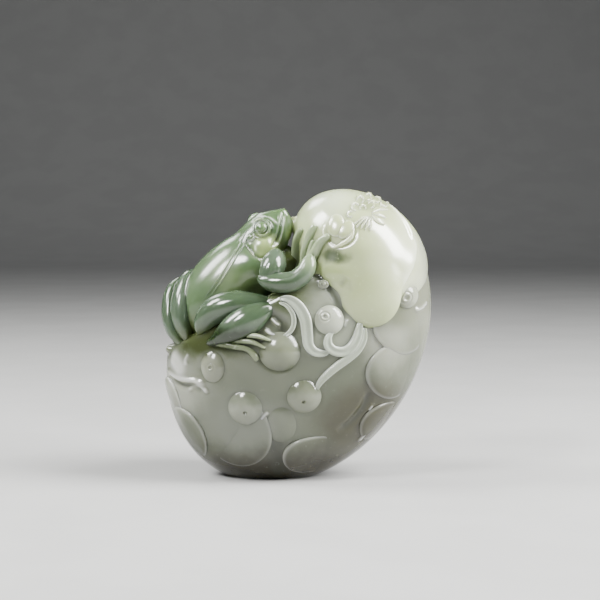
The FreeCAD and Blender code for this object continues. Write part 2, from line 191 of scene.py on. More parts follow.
@dataclass(frozen=True)
class Form:
    """Masses blended into one rounded form, and cut by slabs.

    Args:
        heart: Point that the whole form can be seen from, in mm.
        masses: Masses with the blend to what comes before them, in mm.
        cuts: Slabs that bound the form, with the rounding of each edge.
    """

    heart: tuple[float, float, float]
    masses: tuple[tuple[Ball, float], ...]
    cuts: tuple[tuple[Slab, float], ...] = ()

    def depth(self, p: Array) -> Array:
        """Signed distance of points from the form, negative inside.

        Args:
            p: Points, one row each, in mm.

        Returns:
            One distance for each point, in mm.
        """
        made = self.masses[0][0].depth(p)
        for mass, blend in self.masses[1:]:
            made = soft_min(made, mass.depth(p), blend)
        for slab, blend in self.cuts:
            made = soft_max(made, slab.depth(p), blend)
        return made

    def cast(self, directions: Array) -> Array:
        """Points on the form's skin in directions out of its heart.

        Args:
            directions: Unit directions, one row each.

        Returns:
            One point for each direction, in mm.
        """
        lo = np.zeros(len(directions))
        hi = np.full(len(directions), FARTHEST)
        for _ in range(CAST_HALVINGS):
            mid = (lo + hi) / 2
            inside = self.depth(np.array(self.heart) + directions * mid[:, None]) < 0
            lo = np.where(inside, mid, lo)
            hi = np.where(inside, hi, mid)
        return np.array(self.heart) + directions * lo[:, None]

    def settle(self, points: Array) -> Array:
        """Points moved along their direction from the heart until they lie on the skin."""
        out = points - np.array(self.heart)
        return self.cast(out / np.maximum(np.linalg.norm(out, axis=1, keepdims=True), SPECK))

    def sight(self, drawn: Array) -> Array:
        """Points of the drawing carried back onto the form's front, or to its edge where they miss it.

        Args:
            drawn: Points (x, z) on the drawing, in mm.

        Returns:
            One point of the form for each drawn point, in mm.
        """
        d = EASEL.lines(drawn)
        steps = np.linspace(EASEL.reach - SIGHT_BEFORE, EASEL.reach + SIGHT_BEYOND, SIGHT_STEPS)
        depths = np.stack([self.depth(EASEL.eye + d * t) for t in steps])
        inside = depths < 0
        first = np.where(inside.any(axis=0), inside.argmax(axis=0), depths.argmin(axis=0))
        hi = steps[first]
        lo = steps[np.maximum(first - 1, 0)]
        for _ in range(SIGHT_HALVINGS):
            mid = (lo + hi) / 2
            hit = self.depth(EASEL.eye + d * mid[:, None]) < 0
            hi = np.where(hit, mid, hi)
            lo = np.where(hit, lo, mid)
        return EASEL.eye + d * hi[:, None]

    def outward(self, p: Array) -> Array:
        """Unit normals of the form at points of its skin.

        Args:
            p: Points, one row each, in mm.

        Returns:
            One normal for each point.
        """
        axes = np.eye(3) * FEELER
        slope = np.stack([self.depth(p + a) - self.depth(p - a) for a in axes], axis=1)
        return slope / np.maximum(np.linalg.norm(slope, axis=1, keepdims=True), SPECK)


# ---- Tool marks: relief cut into a form -----------------------------------------------------------


# Share of a stroke over which each end fades, and width of a step's lip in mm
FADE_SHARE = 0.16
LIP_WIDTH = 0.11


class Mark(Enum):
    """What a cutting wheel leaves along a drawn line."""

    GROOVE = "groove"
    RIDGE = "ridge"
    STEP = "step"


def curve_through(points: Array, count: int) -> Array:
    """A smooth curve through points, evenly spaced.

    Args:
        points: Stations, one row each.
        count: How many points to return.

    Returns:
        The resampled curve, one row each.
    """
    p = np.vstack([2 * points[0] - points[1], points, 2 * points[-1] - points[-2]])
    fine = []
    for i in range(1, len(p) - 2):
        t = np.linspace(0.0, 1.0, 16, endpoint=False)[:, None]
        a, b, c, d = p[i - 1], p[i], p[i + 1], p[i + 2]
        square = 2 * a - 5 * b + 4 * c - d
        cube = 3 * b - a - 3 * c + d
        fine.append(0.5 * ((2 * b) + (c - a) * t + square * t**2 + cube * t**3))
    fine = np.vstack([*fine, p[-2:-1]])
    run = np.concatenate([[0.0], np.cumsum(np.linalg.norm(np.diff(fine[:, :3], axis=0), axis=1))])
    even = np.linspace(0.0, run[-1], count)
    return np.stack([np.interp(even, run, fine[:, k]) for k in range(fine.shape[1])], axis=1)


@dataclass(frozen=True)
class Stroke:
    """One drawn line of relief.

    Args:
        mark: What the line leaves.
        path: Points (x, z) on the drawing, in mm. A step is raised on the left of its path.
        height: Height or depth of the mark, in mm.
        width: Half width of the mark, in mm.
        blunt: Keeps its full height to both ends.
    """

    mark: Mark
    path: tuple[tuple[float, float], ...]
    height: float
    width: float
    blunt: bool = False

    def relief(self, form: Form, p: Array, normals: Array) -> Array:
        """Height that the stroke adds at points of the form's skin.

        Args:
            form: The form that is cut.
            p: Points of its skin, one row each, in mm.
            normals: The form's normal at each point.

        Returns:
            The added height at each point, in mm.
        """
        count = max(8, 6 * len(self.path))
        route = form.sight(curve_through(np.array(self.path, dtype=float), count))
        margin = 4 * self.width + 1
        low, high = route.min(axis=0) - margin, route.max(axis=0) + margin
        near = np.where(np.all((p > low) & (p < high), axis=1))[0]
        added = np.zeros(len(p))
        if len(near) == 0:
            return added
        best, side, where = self.measure(route, p[near], normals[near])
        fade = np.ones(len(near))
        if not self.blunt:
            fade = np.clip(np.minimum(where, 1 - where) / FADE_SHARE, 0, 1) ** 0.8
        added[near] = self.height * self.profile(best, side) * fade
        return added

    def measure(self, route: Array, q: Array, normals: Array) -> tuple[Array, Array, Array]:
        """Where points lie beside the stroke's route.

        Args:
            route: Points along the stroke on the form, one row each, in mm.
            q: Points to measure, one row each, in mm.
            normals: The form's normal at each of them.

        Returns:
            Distance from the route, which side of it, and how far along it from 0 to 1.
        """
        best = np.full(len(q), 1e9)
        side = np.zeros(len(q))
        where = np.zeros(len(q))
        for i in range(len(route) - 1):
            a, b = route[i], route[i + 1]
            run = b - a
            t = np.clip(((q - a) @ run) / max(run @ run, 1e-12), 0.0, 1.0)
            off = q - (a + t[:, None] * run)
            dist = np.linalg.norm(off, axis=1)
            closer = dist < best
            best = np.where(closer, dist, best)
            turn = np.einsum("ij,ij->i", np.cross(run[None, :], off), normals)
            side = np.where(closer, np.sign(turn), side)
            where = np.where(closer, (i + t) / (len(route) - 1), where)
        return best, side, where

    def profile(self, best: Array, side: Array) -> Array:
        """Shape of the mark across its route.

        Args:
            best: Distance from the route, in mm.
            side: Which side of the route, as a sign.

        Returns:
            Rise as a share of the stroke's height.
        """
        if self.mark is Mark.GROOVE:
            return -np.exp(-((best / self.width) ** 2))
        if self.mark is Mark.RIDGE:
            return np.exp(-((best / self.width) ** 2))
        lip = 1 / (1 + np.exp(-np.clip(best * side / LIP_WIDTH, -40, 40)))
        shoulder = lip * np.exp(-((best / (self.width * 2.2)) ** 2))
        return shoulder - 0.45 * (1 - lip) * np.exp(-((best / (self.width * 0.7)) ** 2))


def ring_path(
    x: float, z: float, radius: float, start: float = 0.0, sweep: float = 360.0
) -> tuple[tuple[float, float], ...]:
    """An arc on the drawing, anticlockwise from start, in degrees."""
    turns = np.radians(np.linspace(start, start + sweep, max(5, int(sweep / 24))))
    return tuple((x + radius * math.cos(a), z + radius * math.sin(a)) for a in turns)


# ---- Meshes ---------------------------------------------------------------------------------------


def finished(name: str, bm: bmesh.types.BMesh, points: Array, painted_light_shade: Array) -> bpy.types.Object:
    """Writes points into a mesh, closes it up and makes it a shown piece.

    Args:
        name: Piece name.
        bm: The mesh that the points belong to. It is freed.
        points: One row for each vertex, in mm.
        painted_light_shade: Painted light and shade at each vertex: 1 is a full painted glow on an edge, and
            -1 is full painted shade in a deep cut.

    Returns:
        The new object.
    """
    # Painted glow and painted shade are stored on each vertex for the finish to read.
    layer = bm.verts.layers.float.new("painted_light_shade")
    for vert, co, value in zip(bm.verts, points * MM, painted_light_shade):
        vert.co = co
        vert[layer] = value
    bmesh.ops.remove_doubles(bm, verts=bm.verts[:], dist=1e-7)
    bmesh.ops.recalc_face_normals(bm, faces=bm.faces[:])
    mesh = bpy.data.meshes.new(name)
    bm.to_mesh(mesh)
    bm.free()
    mesh.polygons.foreach_set("use_smooth", [True] * len(mesh.polygons))
    made = bpy.data.objects.new(name, mesh)
    bpy.context.scene.collection.objects.link(made)
    return made


def vertex_table(bm: bmesh.types.BMesh) -> Array:
    """The vertices of a mesh as rows."""
    return np.array([v.co[:] for v in bm.verts])


@dataclass(frozen=True)
class Boulder:
    """A closed mesh drawn onto a form, finer on the carved face.

    Args:
        form: What it follows.
        cuts: Cuts along each side of the starting cube.
        gather: How strongly the mesh gathers on the front. 1 is even.
        strokes: Tool marks cut into it.
    """

    form: Form
    cuts: int
    gather: float = 1.0
    strokes: tuple[Stroke, ...] = ()

    def build(self, name: str) -> bpy.types.Object:
        """Makes the mesh.

        Args:
            name: Piece name.

        Returns:
            The new object.
        """
        bm = bmesh.new()
        bmesh.ops.create_cube(bm, size=2.0)
        bmesh.ops.subdivide_edges(bm, edges=bm.edges[:], cuts=self.cuts, use_grid_fill=True)
        d = np.tan(vertex_table(bm) * math.pi / 4)
        d /= np.linalg.norm(d, axis=1, keepdims=True)
        front = -d[:, 1]
        spread = np.sqrt(np.maximum(1 - front**2, 1e-12))
        angle = 2 * np.arctan2(spread * self.gather, 1 + front)
        around = d[:, [0, 2]] / spread[:, None]
        d = np.stack([around[:, 0] * np.sin(angle), -np.cos(angle), around[:, 1] * np.sin(angle)], axis=1)
        p = self.form.cast(d)
        n = self.form.outward(p)
        height = sum((s.relief(self.form, p, n) for s in self.strokes), np.zeros(len(p)))
        # Raised marks are given a painted highlight and cut marks painted shade, by their height.
        return finished(name, bm, p + n * height[:, None], np.clip(height / 0.5, -1, 1))


@dataclass(frozen=True)
class Station:
    """A stop along a swept piece.

    Args:
        x: Across the drawing, in mm.
        z: Up the drawing, in mm.
        y: Depth, in mm, or the lift off the host for a piece that lies on one.
        wide: Half width, in mm.
        high: Half height, in mm.
    """

    x: float
    z: float
    y: float
    wide: float
    high: float


# Points along a swept piece, and the shape of a ribbon's channel as shares of its width
ROUTE_POINTS = 240
CHANNEL_SHOULDER = 0.55
CHANNEL_SHARE = 0.5


@dataclass(frozen=True)
class Sweep:
    """A limb, finger or ribbon that follows stations.

    Args:
        stations: Stops along it.
        host: Form that it lies on, or None where the stations give depths.
        bury: How deep its underside reaches, in mm, or 0 for a section that is the same below.
        channel: Depth of the channel down its middle, as a share of its height.
        blunt: How square its ends are. Smaller is squarer.
        rings: Rings along it.
        sides: Points round it.
        facing: Direction that its upper side faces where there is no host.
        painted_edge_glow: How much painted glow lightens its edges, from 0 to 1.
    """

    stations: tuple[Station, ...]
    host: Form | None = None
    bury: float = 0.0
    channel: float = 0.0
    blunt: float = 0.45
    rings: int = 64
    sides: int = 32
    facing: tuple[float, float, float] = (0.0, -1.0, 0.0)
    painted_edge_glow: float = 0.7

    def build(self, name: str) -> bpy.types.Object:
        """Makes the mesh.

        Args:
            name: Piece name.

        Returns:
            The new object.
        """
        middle, up, wide, high = self.route()
        along = np.gradient(middle, axis=0)
        along /= np.maximum(np.linalg.norm(along, axis=1, keepdims=True), SPECK)
        beside = np.cross(along, up)
        beside /= np.maximum(np.linalg.norm(beside, axis=1, keepdims=True), SPECK)
        up = np.cross(beside, along)

        bm = bmesh.new()
        bmesh.ops.create_uvsphere(bm, u_segments=self.sides, v_segments=self.rings, radius=1.0)
        v = vertex_table(bm)
        stop = np.clip((1 - v[:, 2]) / 2, 0, 1)
        size = np.clip(np.hypot(v[:, 0], v[:, 1]), 0, 1)
        close = np.where(size < 1e-6, 0.0, size**self.blunt)
        turn = np.arctan2(v[:, 1], v[:, 0])
        at = stop * (len(middle) - 1)
        grid = np.arange(len(middle))

        def along_route(values: Array) -> Array:
            """Values of the route at each vertex."""
            return np.stack([np.interp(at, grid, values[:, k]) for k in range(values.shape[1])], axis=1)

        w = np.interp(at, grid, wide) * close
        h = np.interp(at, grid, high) * close
        across, rise = np.cos(turn), np.sin(turn)
        top = np.maximum(rise, 0)
        upper = top * h
        if self.channel:
            upper = top**CHANNEL_SHOULDER * h * (1 - self.channel * np.exp(-((across / CHANNEL_SHARE) ** 2)))
        below = np.minimum(rise, 0) * (np.full(len(v), self.bury) * close if self.bury else h)
        p = along_route(middle) + along_route(beside) * (across * w)[:, None]
        p = p + along_route(up) * (upper + below)[:, None]
        # Painted glow along the sides of the piece, strongest at its edges.
        return finished(name, bm, p, self.painted_edge_glow * np.abs(across) ** 3)

    def route(self) -> tuple[Array, Array, Array, Array]:
        """The stations joined by a smooth line.

        Returns:
            Middle, upward direction, half width and half height at each point of the line.
        """
        table = np.array([(s.x, s.z, s.y, s.wide, s.high) for s in self.stations])
        if self.host is None:
            spine = EASEL.at_depth(table[:, :2], table[:, 2])
        else:
            spine = self.host.sight(table[:, :2])
        line = curve_through(np.hstack([spine, table[:, 2:]]), ROUTE_POINTS)
        middle, lift, wide, high = line[:, :3], line[:, 3], line[:, 4], line[:, 5]
        if self.host is None:
            return middle, np.tile(np.array(self.facing), (len(line), 1)), wide, high
        middle = self.host.settle(middle)
        up = self.host.outward(middle)
        return middle + up * lift[:, None], up, wide, high


# Pits, burr rings and edges of the raised pads: mm, and the width of the painted rim glow as a share of the
# radius
HAIR = 0.06
PIT_DEEP = 0.45
RING_CUT = 0.16
RIM_SHARE = 0.10


@dataclass(frozen=True)
class Boss:
    """A raised pad on a form: a seed, a lobe, an eye or a drum.

    Args:
        host: Form that it stands on.
        x: Middle across the drawing, in mm.
        z: Middle up the drawing, in mm.
        wide: Half width, in mm.
        tall: Half height on the drawing, in mm.
        high: Height above the host, in mm.
        plateau: Shape of the top. 1 is domed, smaller is flatter with a steeper edge.
        turn: Turn on the host, in degrees.
        sink: How deep its underside reaches, in mm.
        tilt: How far past the middle the raised part reaches, as a share of the radius, or 0 for all of it.
        raised_edge: Direction of the raised edge on the host, in degrees.
        pit: Radius of the drilled pit, in mm.
        pit_place: Where the pit is, from the middle, in mm.
        ring: Radius of the burr ring round the pit, in mm.
        anchor: Middle in the row frame, in mm, where the drawing can't show it.
        painted_edge_glow: How much painted glow lightens its rim, from 0 to 1.
        rings: Rings from pole to pole.
        sides: Points round it.
    """

    host: Form
    x: float
    z: float
    wide: float
    tall: float
    high: float
    plateau: float = 1.0
    turn: float = 0.0
    sink: float = 3.0
    tilt: float = 0.0
    raised_edge: float = 180.0
    pit: float = 0.0
    pit_place: tuple[float, float] = (0.0, 0.0)
    ring: float = 0.0
    anchor: tuple[float, float, float] | None = None
    painted_edge_glow: float = 0.9
    rings: int = 56
    sides: int = 72

    def build(self, name: str) -> bpy.types.Object:
        """Makes the mesh.

        Args:
            name: Piece name.

        Returns:
            The new object.
        """
        middle = (
            self.host.settle(np.array([self.anchor]))
            if self.anchor is not None
            else self.host.sight(np.array([[self.x, self.z]]))
        )
        up = self.host.outward(middle)[0]
        side = np.cross(up, np.array([0.0, 0.0, 1.0]))
        side = -side / max(np.linalg.norm(side), SPECK)
        rise = np.cross(side, up)
        rise = rise if rise[2] > 0 else -rise

        bm = bmesh.new()
        bmesh.ops.create_uvsphere(bm, u_segments=self.sides, v_segments=self.rings, radius=1.0)
        v = vertex_table(bm)
        level = v[:, 2]
        size = np.clip(np.hypot(v[:, 0], v[:, 1]), 0, 1)
        angle = np.arctan2(v[:, 1], v[:, 0])
        a = size * np.cos(angle) * self.wide
        b = size * np.sin(angle) * self.tall
        t = math.radians(self.turn)
        u, w = a * math.cos(t) - b * math.sin(t), a * math.sin(t) + b * math.cos(t)
        flat = middle + u[:, None] * side + w[:, None] * rise
        base = self.host.settle(flat)
        normal = self.host.outward(base)
        height = np.where(level >= 0, np.abs(level) ** self.plateau * self.high, -np.abs(level) * self.sink)
        if self.tilt:
            edge = math.radians(self.raised_edge)
            share = (u * math.cos(edge) + w * math.sin(edge)) / max(self.wide, self.tall)
            gain = np.clip((share + self.tilt) / (1 + self.tilt), 0, 1)
            gain = gain * gain * (3 - 2 * gain)
            height = np.where(level >= 0, (height + HAIR) * gain - HAIR, height - HAIR)
        away = np.hypot(u - self.pit_place[0], w - self.pit_place[1])
        crown = level > 0
        if self.pit:
            height = height - np.where(crown, PIT_DEEP * np.exp(-((away / self.pit) ** 4)), 0)
        if self.ring:
            height = height - np.where(crown, RING_CUT * np.exp(-(((away - self.ring) / RING_CUT) ** 2)), 0)
        # Painted glow round the rim of the pad, and a little on its buried underside.
        rim = np.where(level >= 0, np.exp(-(((1 - size) / RIM_SHARE) ** 2)), 0.3) * self.painted_edge_glow
        return finished(name, bm, base + normal * height[:, None], rim)


# ---- Finishes -------------------------------------------------------------------------------------


@dataclass(frozen=True)
class Zone:
    """A cloud of another colour: some give the stone's own colours, some paint light and some paint shade.

    Args:
        colour: Linear colour of the cloud.
        centre: Its middle, in mm.
        core: Radius of full colour, in mm.
        edge: Radius where it has faded out, in mm.
        amount: Strength at the core, from 0 to 1.
        stretch: Squeeze of space along x, y and z before measuring, so that clouds can be long.
    """

    colour: tuple[float, float, float]
    centre: tuple[float, float, float]
    core: float
    edge: float
    amount: float = 1.0
    stretch: tuple[float, float, float] = (1.0, 1.0, 1.0)


class Chart:
    """A node material that is being wired up.

    Args:
        name: Material name.
    """

    def __init__(self, name: str) -> None:
        """Starts an empty material.

        Args:
            name: Material name.
        """
        self.material = bpy.data.materials.new(name)
        self.material.use_nodes = True
        self.tree = self.material.node_tree
        self.tree.nodes.clear()
        self.place = self.add("ShaderNodeTexCoord").outputs["Object"]

    def add(self, kind: str, **settings: object) -> bpy.types.Node:
        """Adds a node.

        Args:
            kind: Node type.
            settings: Its properties.

        Returns:
            The node.
        """
        made = self.tree.nodes.new(kind)
        for name, value in settings.items():
            setattr(made, name, value)
        return made

    def feed(self, socket: bpy.types.NodeSocket, value: object) -> None:
        """Sets or links an input.

        Args:
            socket: The input.
            value: A number, a colour or another node's output.
        """
        if isinstance(value, bpy.types.NodeSocket):
            self.tree.links.new(value, socket)
        else:
            socket.default_value = value

    def noise(
        self, size: float, detail: float = 3.0, rough: float = 0.5, shift: float = 0.0
    ) -> bpy.types.Node:
        """Adds noise.

        Args:
            size: Size of its features, in mm.
            detail: How many finer layers it has.
            rough: How strong the finer layers are.
            shift: Where in the noise it is taken, in metres.

        Returns:
            The noise node.
        """
        moved = self.add("ShaderNodeVectorMath", operation="ADD")
        self.feed(moved.inputs[0], self.place)
        moved.inputs[1].default_value = (shift, shift * 0.7, shift * 1.3)
        made = self.add("ShaderNodeTexNoise")
        self.feed(made.inputs["Vector"], moved.outputs[0])
        made.inputs["Scale"].default_value = 1.0 / (size * MM)
        made.inputs["Detail"].default_value = detail
        made.inputs["Roughness"].default_value = rough
        return made

    def ramp(self, value: object, low: float, high: float, start: float, stop: float) -> bpy.types.NodeSocket:
        """Maps a value smoothly from one range to another.

        Args:
            value: What is mapped.
            low: Bottom of its range.
            high: Top of its range.
            start: Result at the bottom.
            stop: Result at the top.

        Returns:
            The mapped value.
        """
        made = self.add("ShaderNodeMapRange", interpolation_type="SMOOTHSTEP")
        self.feed(made.inputs["Value"], value)
        for name, number in (("From Min", low), ("From Max", high), ("To Min", start), ("To Max", stop)):
            made.inputs[name].default_value = number
        return made.outputs["Result"]

    def mix(self, share: object, a: object, b: object) -> bpy.types.NodeSocket:
        """Mixes two colours.

        Args:
            share: Share of the second, from 0 to 1.
            a: First colour.
            b: Second colour.

        Returns:
            The mixed colour.
        """
        made = self.add("ShaderNodeMix", data_type="RGBA")
        self.feed(made.inputs["Factor"], share)
        for socket, value in ((made.inputs["A"], a), (made.inputs["B"], b)):
            self.feed(socket, (*value, 1.0) if isinstance(value, tuple) else value)
        return made.outputs["Result"]


# Nephrite's refractive index, and how far the edges of its zones wander, in mm
NEPHRITE_IOR = 1.61
ZONE_WANDER = 5.0


@dataclass(frozen=True)
class JadeFinish:
    """Polished nephrite with clouds of other colours, painted light and shade, and a painted glow on edges.

    Args:
        name: Material name.
        body: Linear colour of the stone.
        cloud: Linear colour of its soft mottling.
        zones: Clouds laid over it, in order.
        glow: Share of the light that scatters inside.
        mottle: Strength of the mottling, from 0 to 1.
        rough: Roughness of the polish.
        depth: How far light travels inside, in mm.
        painted_glow_strength: How far the painted glow lightens edges, from 0 to 1.
        gloss: Strength of the mirror layer, where 0.5 is plain polished stone.
    """

    name: str
    body: tuple[float, float, float]
    cloud: tuple[float, float, float]
    # zones: Clouds laid over it, in order: colours of the stone, painted light and painted shade.
    zones: tuple[Zone, ...] = ()
    glow: float = 0.75
    mottle: float = 0.6
    rough: float = 0.14
    depth: float = 4.0
    painted_glow_strength: float = 0.75
    gloss: float = 0.45

    def build(self) -> bpy.types.Material:
        """Wires the material.

        Returns:
            The material.
        """
        chart = Chart(self.name)
        broad = chart.noise(14.0, 2.0, 0.5)
        mottling = chart.ramp(broad.outputs["Fac"], 0.38, 0.66, 0.0, self.mottle)
        colour = self.painted_light_and_flecks(chart, self.clouded(chart, chart.mix(mottling, self.body, self.cloud)))
        grain = chart.noise(0.9, 3.0, 0.6, 0.7)
        bump = chart.add("ShaderNodeBump")
        bump.inputs["Strength"].default_value = 0.05
        bump.inputs["Distance"].default_value = 0.1 * MM
        chart.feed(bump.inputs["Height"], grain.outputs["Fac"])
        shader = chart.add("ShaderNodeBsdfPrincipled")
        chart.feed(shader.inputs["Base Color"], colour)
        chart.feed(shader.inputs["Normal"], bump.outputs["Normal"])
        polish = chart.ramp(broad.outputs["Fac"], 0.3, 0.7, self.rough, self.rough * 1.35)
        chart.feed(shader.inputs["Roughness"], polish)
        shader.inputs["IOR"].default_value = NEPHRITE_IOR
        shader.inputs["Specular IOR Level"].default_value = self.gloss
        shader.inputs["Coat Weight"].default_value = 0.2
        shader.inputs["Coat Roughness"].default_value = 0.04
        shader.inputs["Subsurface Weight"].default_value = self.glow
        shader.inputs["Subsurface Radius"].default_value = (1.0, 1.0, 0.72)
        shader.inputs["Subsurface Scale"].default_value = self.depth * MM
        output = chart.add("ShaderNodeOutputMaterial")
        chart.feed(output.inputs["Surface"], shader.outputs["BSDF"])
        return chart.material

    def clouded(self, chart: Chart, colour: bpy.types.NodeSocket) -> bpy.types.NodeSocket:
        """Lays the zones over a colour, with wandering edges.

        Args:
            chart: The material.
            colour: Colour under the zones.

        Returns:
            The colour with the zones over it.
        """
        sway = chart.add("ShaderNodeVectorMath", operation="SUBTRACT")
        chart.feed(sway.inputs[0], chart.noise(6.0, 3.0, 0.55, 0.2).outputs["Color"])
        sway.inputs[1].default_value = (0.5, 0.5, 0.5)
        amplitude = chart.add("ShaderNodeVectorMath", operation="SCALE")
        chart.feed(amplitude.inputs[0], sway.outputs[0])
        amplitude.inputs["Scale"].default_value = ZONE_WANDER * MM
        warped = chart.add("ShaderNodeVectorMath", operation="ADD")
        chart.feed(warped.inputs[0], chart.place)
        chart.feed(warped.inputs[1], amplitude.outputs[0])
        for zone in self.zones:
            away = chart.add("ShaderNodeVectorMath", operation="SUBTRACT")
            chart.feed(away.inputs[0], warped.outputs[0])
            away.inputs[1].default_value = tuple(c * MM for c in zone.centre)
            squeezed = chart.add("ShaderNodeVectorMath", operation="MULTIPLY")
            chart.feed(squeezed.inputs[0], away.outputs[0])
            squeezed.inputs[1].default_value = zone.stretch
            length = chart.add("ShaderNodeVectorMath", operation="LENGTH")
            chart.feed(length.inputs[0], squeezed.outputs[0])
            share = chart.ramp(length.outputs["Value"], zone.core * MM, zone.edge * MM, zone.amount, 0.0)
            colour = chart.mix(share, colour, zone.colour)
        return colour

    def painted_light_and_flecks(self, chart: Chart, colour: bpy.types.NodeSocket) -> bpy.types.NodeSocket:
        """Paints a glow onto edges and raised lines, paints shade into deep cuts and adds pale flecks.

        Args:
            chart: The material.
            colour: Colour of the stone.

        Returns:
            The finished colour.
        """
        # Painted glow on edges and raised lines, then painted shade in cuts; the flecks after them are the
        # stone's own.
        painted_light_shade = chart.add("ShaderNodeAttribute", attribute_name="painted_light_shade").outputs["Fac"]
        lit = tuple(0.35 + 0.65 * c for c in self.cloud)
        colour = chart.mix(chart.ramp(painted_light_shade, 0.1, 1.0, 0.0, self.painted_glow_strength), colour, lit)
        shaded = tuple(0.45 * c for c in self.body)
        colour = chart.mix(chart.ramp(painted_light_shade, -0.1, -1.0, 0.0, 0.55), colour, shaded)
        flecks = chart.noise(1.1, 2.0, 0.6, 0.4)
        pale = tuple(min(1.0, c * 1.35) for c in self.cloud)
        return chart.mix(chart.ramp(flecks.outputs["Fac"], 0.62, 0.78, 0.0, 0.22), colour, pale)


@dataclass(frozen=True)
class MattFinish:
    """Plain painted paper, for the floor.

    Args:
        name: Material name.
        colour: Linear colour.
    """

    name: str
    colour: tuple[float, float, float]

    def build(self) -> bpy.types.Material:
        """Wires the material.

        Returns:
            The material.
        """
        chart = Chart(self.name)
        tooth = chart.noise(30.0, 4.0)
        shader = chart.add("ShaderNodeBsdfPrincipled")
        darker = tuple(c * 0.96 for c in self.colour)
        fibre = chart.ramp(tooth.outputs["Fac"], 0.4, 0.6, 0.0, 1.0)
        chart.feed(shader.inputs["Base Color"], chart.mix(fibre, self.colour, darker))
        shader.inputs["Roughness"].default_value = 0.7
        output = chart.add("ShaderNodeOutputMaterial")
        chart.feed(output.inputs["Surface"], shader.outputs["BSDF"])
        return chart.material


PALE = (0.085, 0.096, 0.062)
PALE_CLOUD = (0.125, 0.135, 0.095)
LEAF_GREEN = (0.06, 0.105, 0.042)
# Olive green: a colour of the stone, and also painted shade under the frog.
MOSS_AND_SHADE = (0.045, 0.062, 0.016)
CREAM = (0.50, 0.54, 0.36)

POD_FINISH = JadeFinish(
    "pale_nephrite",
    PALE,
    PALE_CLOUD,
    zones=(
        # Lighter left side and right rim: painted light and glow.
        Zone((0.25, 0.26, 0.21), (-19.0, -8.0, 19.0), 1.0, 9.0, 0.8, (0.8, 0.6, 1.0)),
        Zone((0.15, 0.16, 0.128), (-5.0, -12.0, 12.0), 3.0, 10.0, 0.7, (0.8, 0.6, 1.0)),
        Zone((0.18, 0.19, 0.14), (32.0, -6.0, 38.0), 3.0, 11.0, 0.9, (1.2, 0.6, 0.8)),
        Zone((0.25, 0.26, 0.205), (24.0, -12.0, 29.0), 2.0, 8.0, 0.75),
        Zone((0.24, 0.26, 0.20), (12.0, -12.0, 35.5), 3.0, 10.0, 0.85, (0.7, 0.6, 1.0)),
        # Darker bottom and centre right: partly the stone's olive, partly painted shade.
        Zone((0.016, 0.013, 0.003), (6.0, 0.0, -3.0), 8.5, 16.0, 0.98, (0.42, 0.6, 1.0)),
        Zone((0.035, 0.033, 0.013), (21.0, -12.0, 12.5), 5.0, 11.5, 0.95, (0.75, 0.5, 1.0)),
        # Painted shade on the pod under the frog's hind legs.
        Zone((0.03, 0.04, 0.009), (-12.0, -10.0, 30.5), 3.5, 7.0, 0.92, (0.6, 0.6, 1.1)),
        # Painted shade on the ledge under the frog's belly.
        Zone(MOSS_AND_SHADE, (4.0, -13.0, 39.0), 1.0, 5.0, 0.8, (0.7, 0.5, 1.0)),
        Zone((0.16, 0.17, 0.12), (7.0, -14.0, 33.5), 1.0, 5.0, 0.6),
        Zone(MOSS_AND_SHADE, (-20.0, 0.0, 28.5), 1.0, 4.0, 0.6),
        # Painted shade in the gap under the frog's chin.
        Zone((0.03, 0.045, 0.01), (5.0, -10.0, 44.0), 1.5, 4.5, 0.9),
    ),
    gloss=0.38,
)
LOBE_FINISH = replace(POD_FINISH, name="pale_nephrite_lobe", depth=1.5, painted_glow_strength=0.5)
SEED_FINISH = replace(
    POD_FINISH,
    name="pale_nephrite_seed",
    zones=(
        *POD_FINISH.zones,
        # Lighter seeds: painted light on their domes.
        Zone((0.27, 0.285, 0.22), (-5.3, -14.5, 14.6), 2.0, 5.0, 0.45),
        Zone((0.25, 0.265, 0.2), (7.2, -15.5, 17.2), 2.0, 5.0, 0.45),
        Zone((0.22, 0.24, 0.16), (2.0, -16.5, 27.0), 2.0, 5.0, 0.4),
        Zone((0.24, 0.25, 0.19), (-12.2, -13.5, 23.4), 2.0, 4.5, 0.55),
        Zone((0.42, 0.44, 0.36), (12.5, -15.5, 33.2), 2.0, 5.0, 0.6),
        Zone((0.40, 0.42, 0.33), (28.6, -9.0, 38.6), 2.0, 5.0, 0.6),
    ),
    depth=1.0,
)
DOME_FINISH = JadeFinish(
    "yellow_nephrite",
    (0.36, 0.41, 0.20),
    (0.44, 0.49, 0.29),
    zones=(
        Zone(CREAM, (27.0, -10.0, 46.0), 4.0, 13.0, 0.85),
        Zone((0.50, 0.56, 0.40), (12.0, -8.0, 57.5), 1.0, 10.0, 0.8),
        Zone((0.43, 0.50, 0.27), (8.5, -8.0, 50.5), 3.0, 8.0, 0.85),
        Zone((0.27, 0.33, 0.13), (12.5, -15.0, 43.0), 1.5, 5.0, 0.7),
        Zone((0.035, 0.055, 0.014), (12.8, -15.0, 47.3), 0.9, 3.0, 0.93, (0.75, 0.4, 1.15)),
        Zone((0.34, 0.36, 0.28), (32.5, -2.0, 46.0), 2.0, 7.0, 0.85, (1.2, 0.5, 0.7)),
        Zone(MOSS_AND_SHADE, (15.8, -15.0, 41.0), 0.1, 1.8, 0.7),
        Zone(MOSS_AND_SHADE, (20.0, -10.0, 57.0), 0.3, 3.5, 0.4),
        # Painted shade in the gap behind the frog's hand and under its chin.
        Zone((0.08, 0.11, 0.03), (4.8, -8.0, 46.0), 1.0, 3.6, 0.85),
    ),
    rough=0.2,
    gloss=0.9,
)
WHITE_FINISH = JadeFinish(
    "white_nephrite", (0.27, 0.30, 0.235), (0.36, 0.40, 0.33), glow=0.5, mottle=0.5, depth=1.0
)
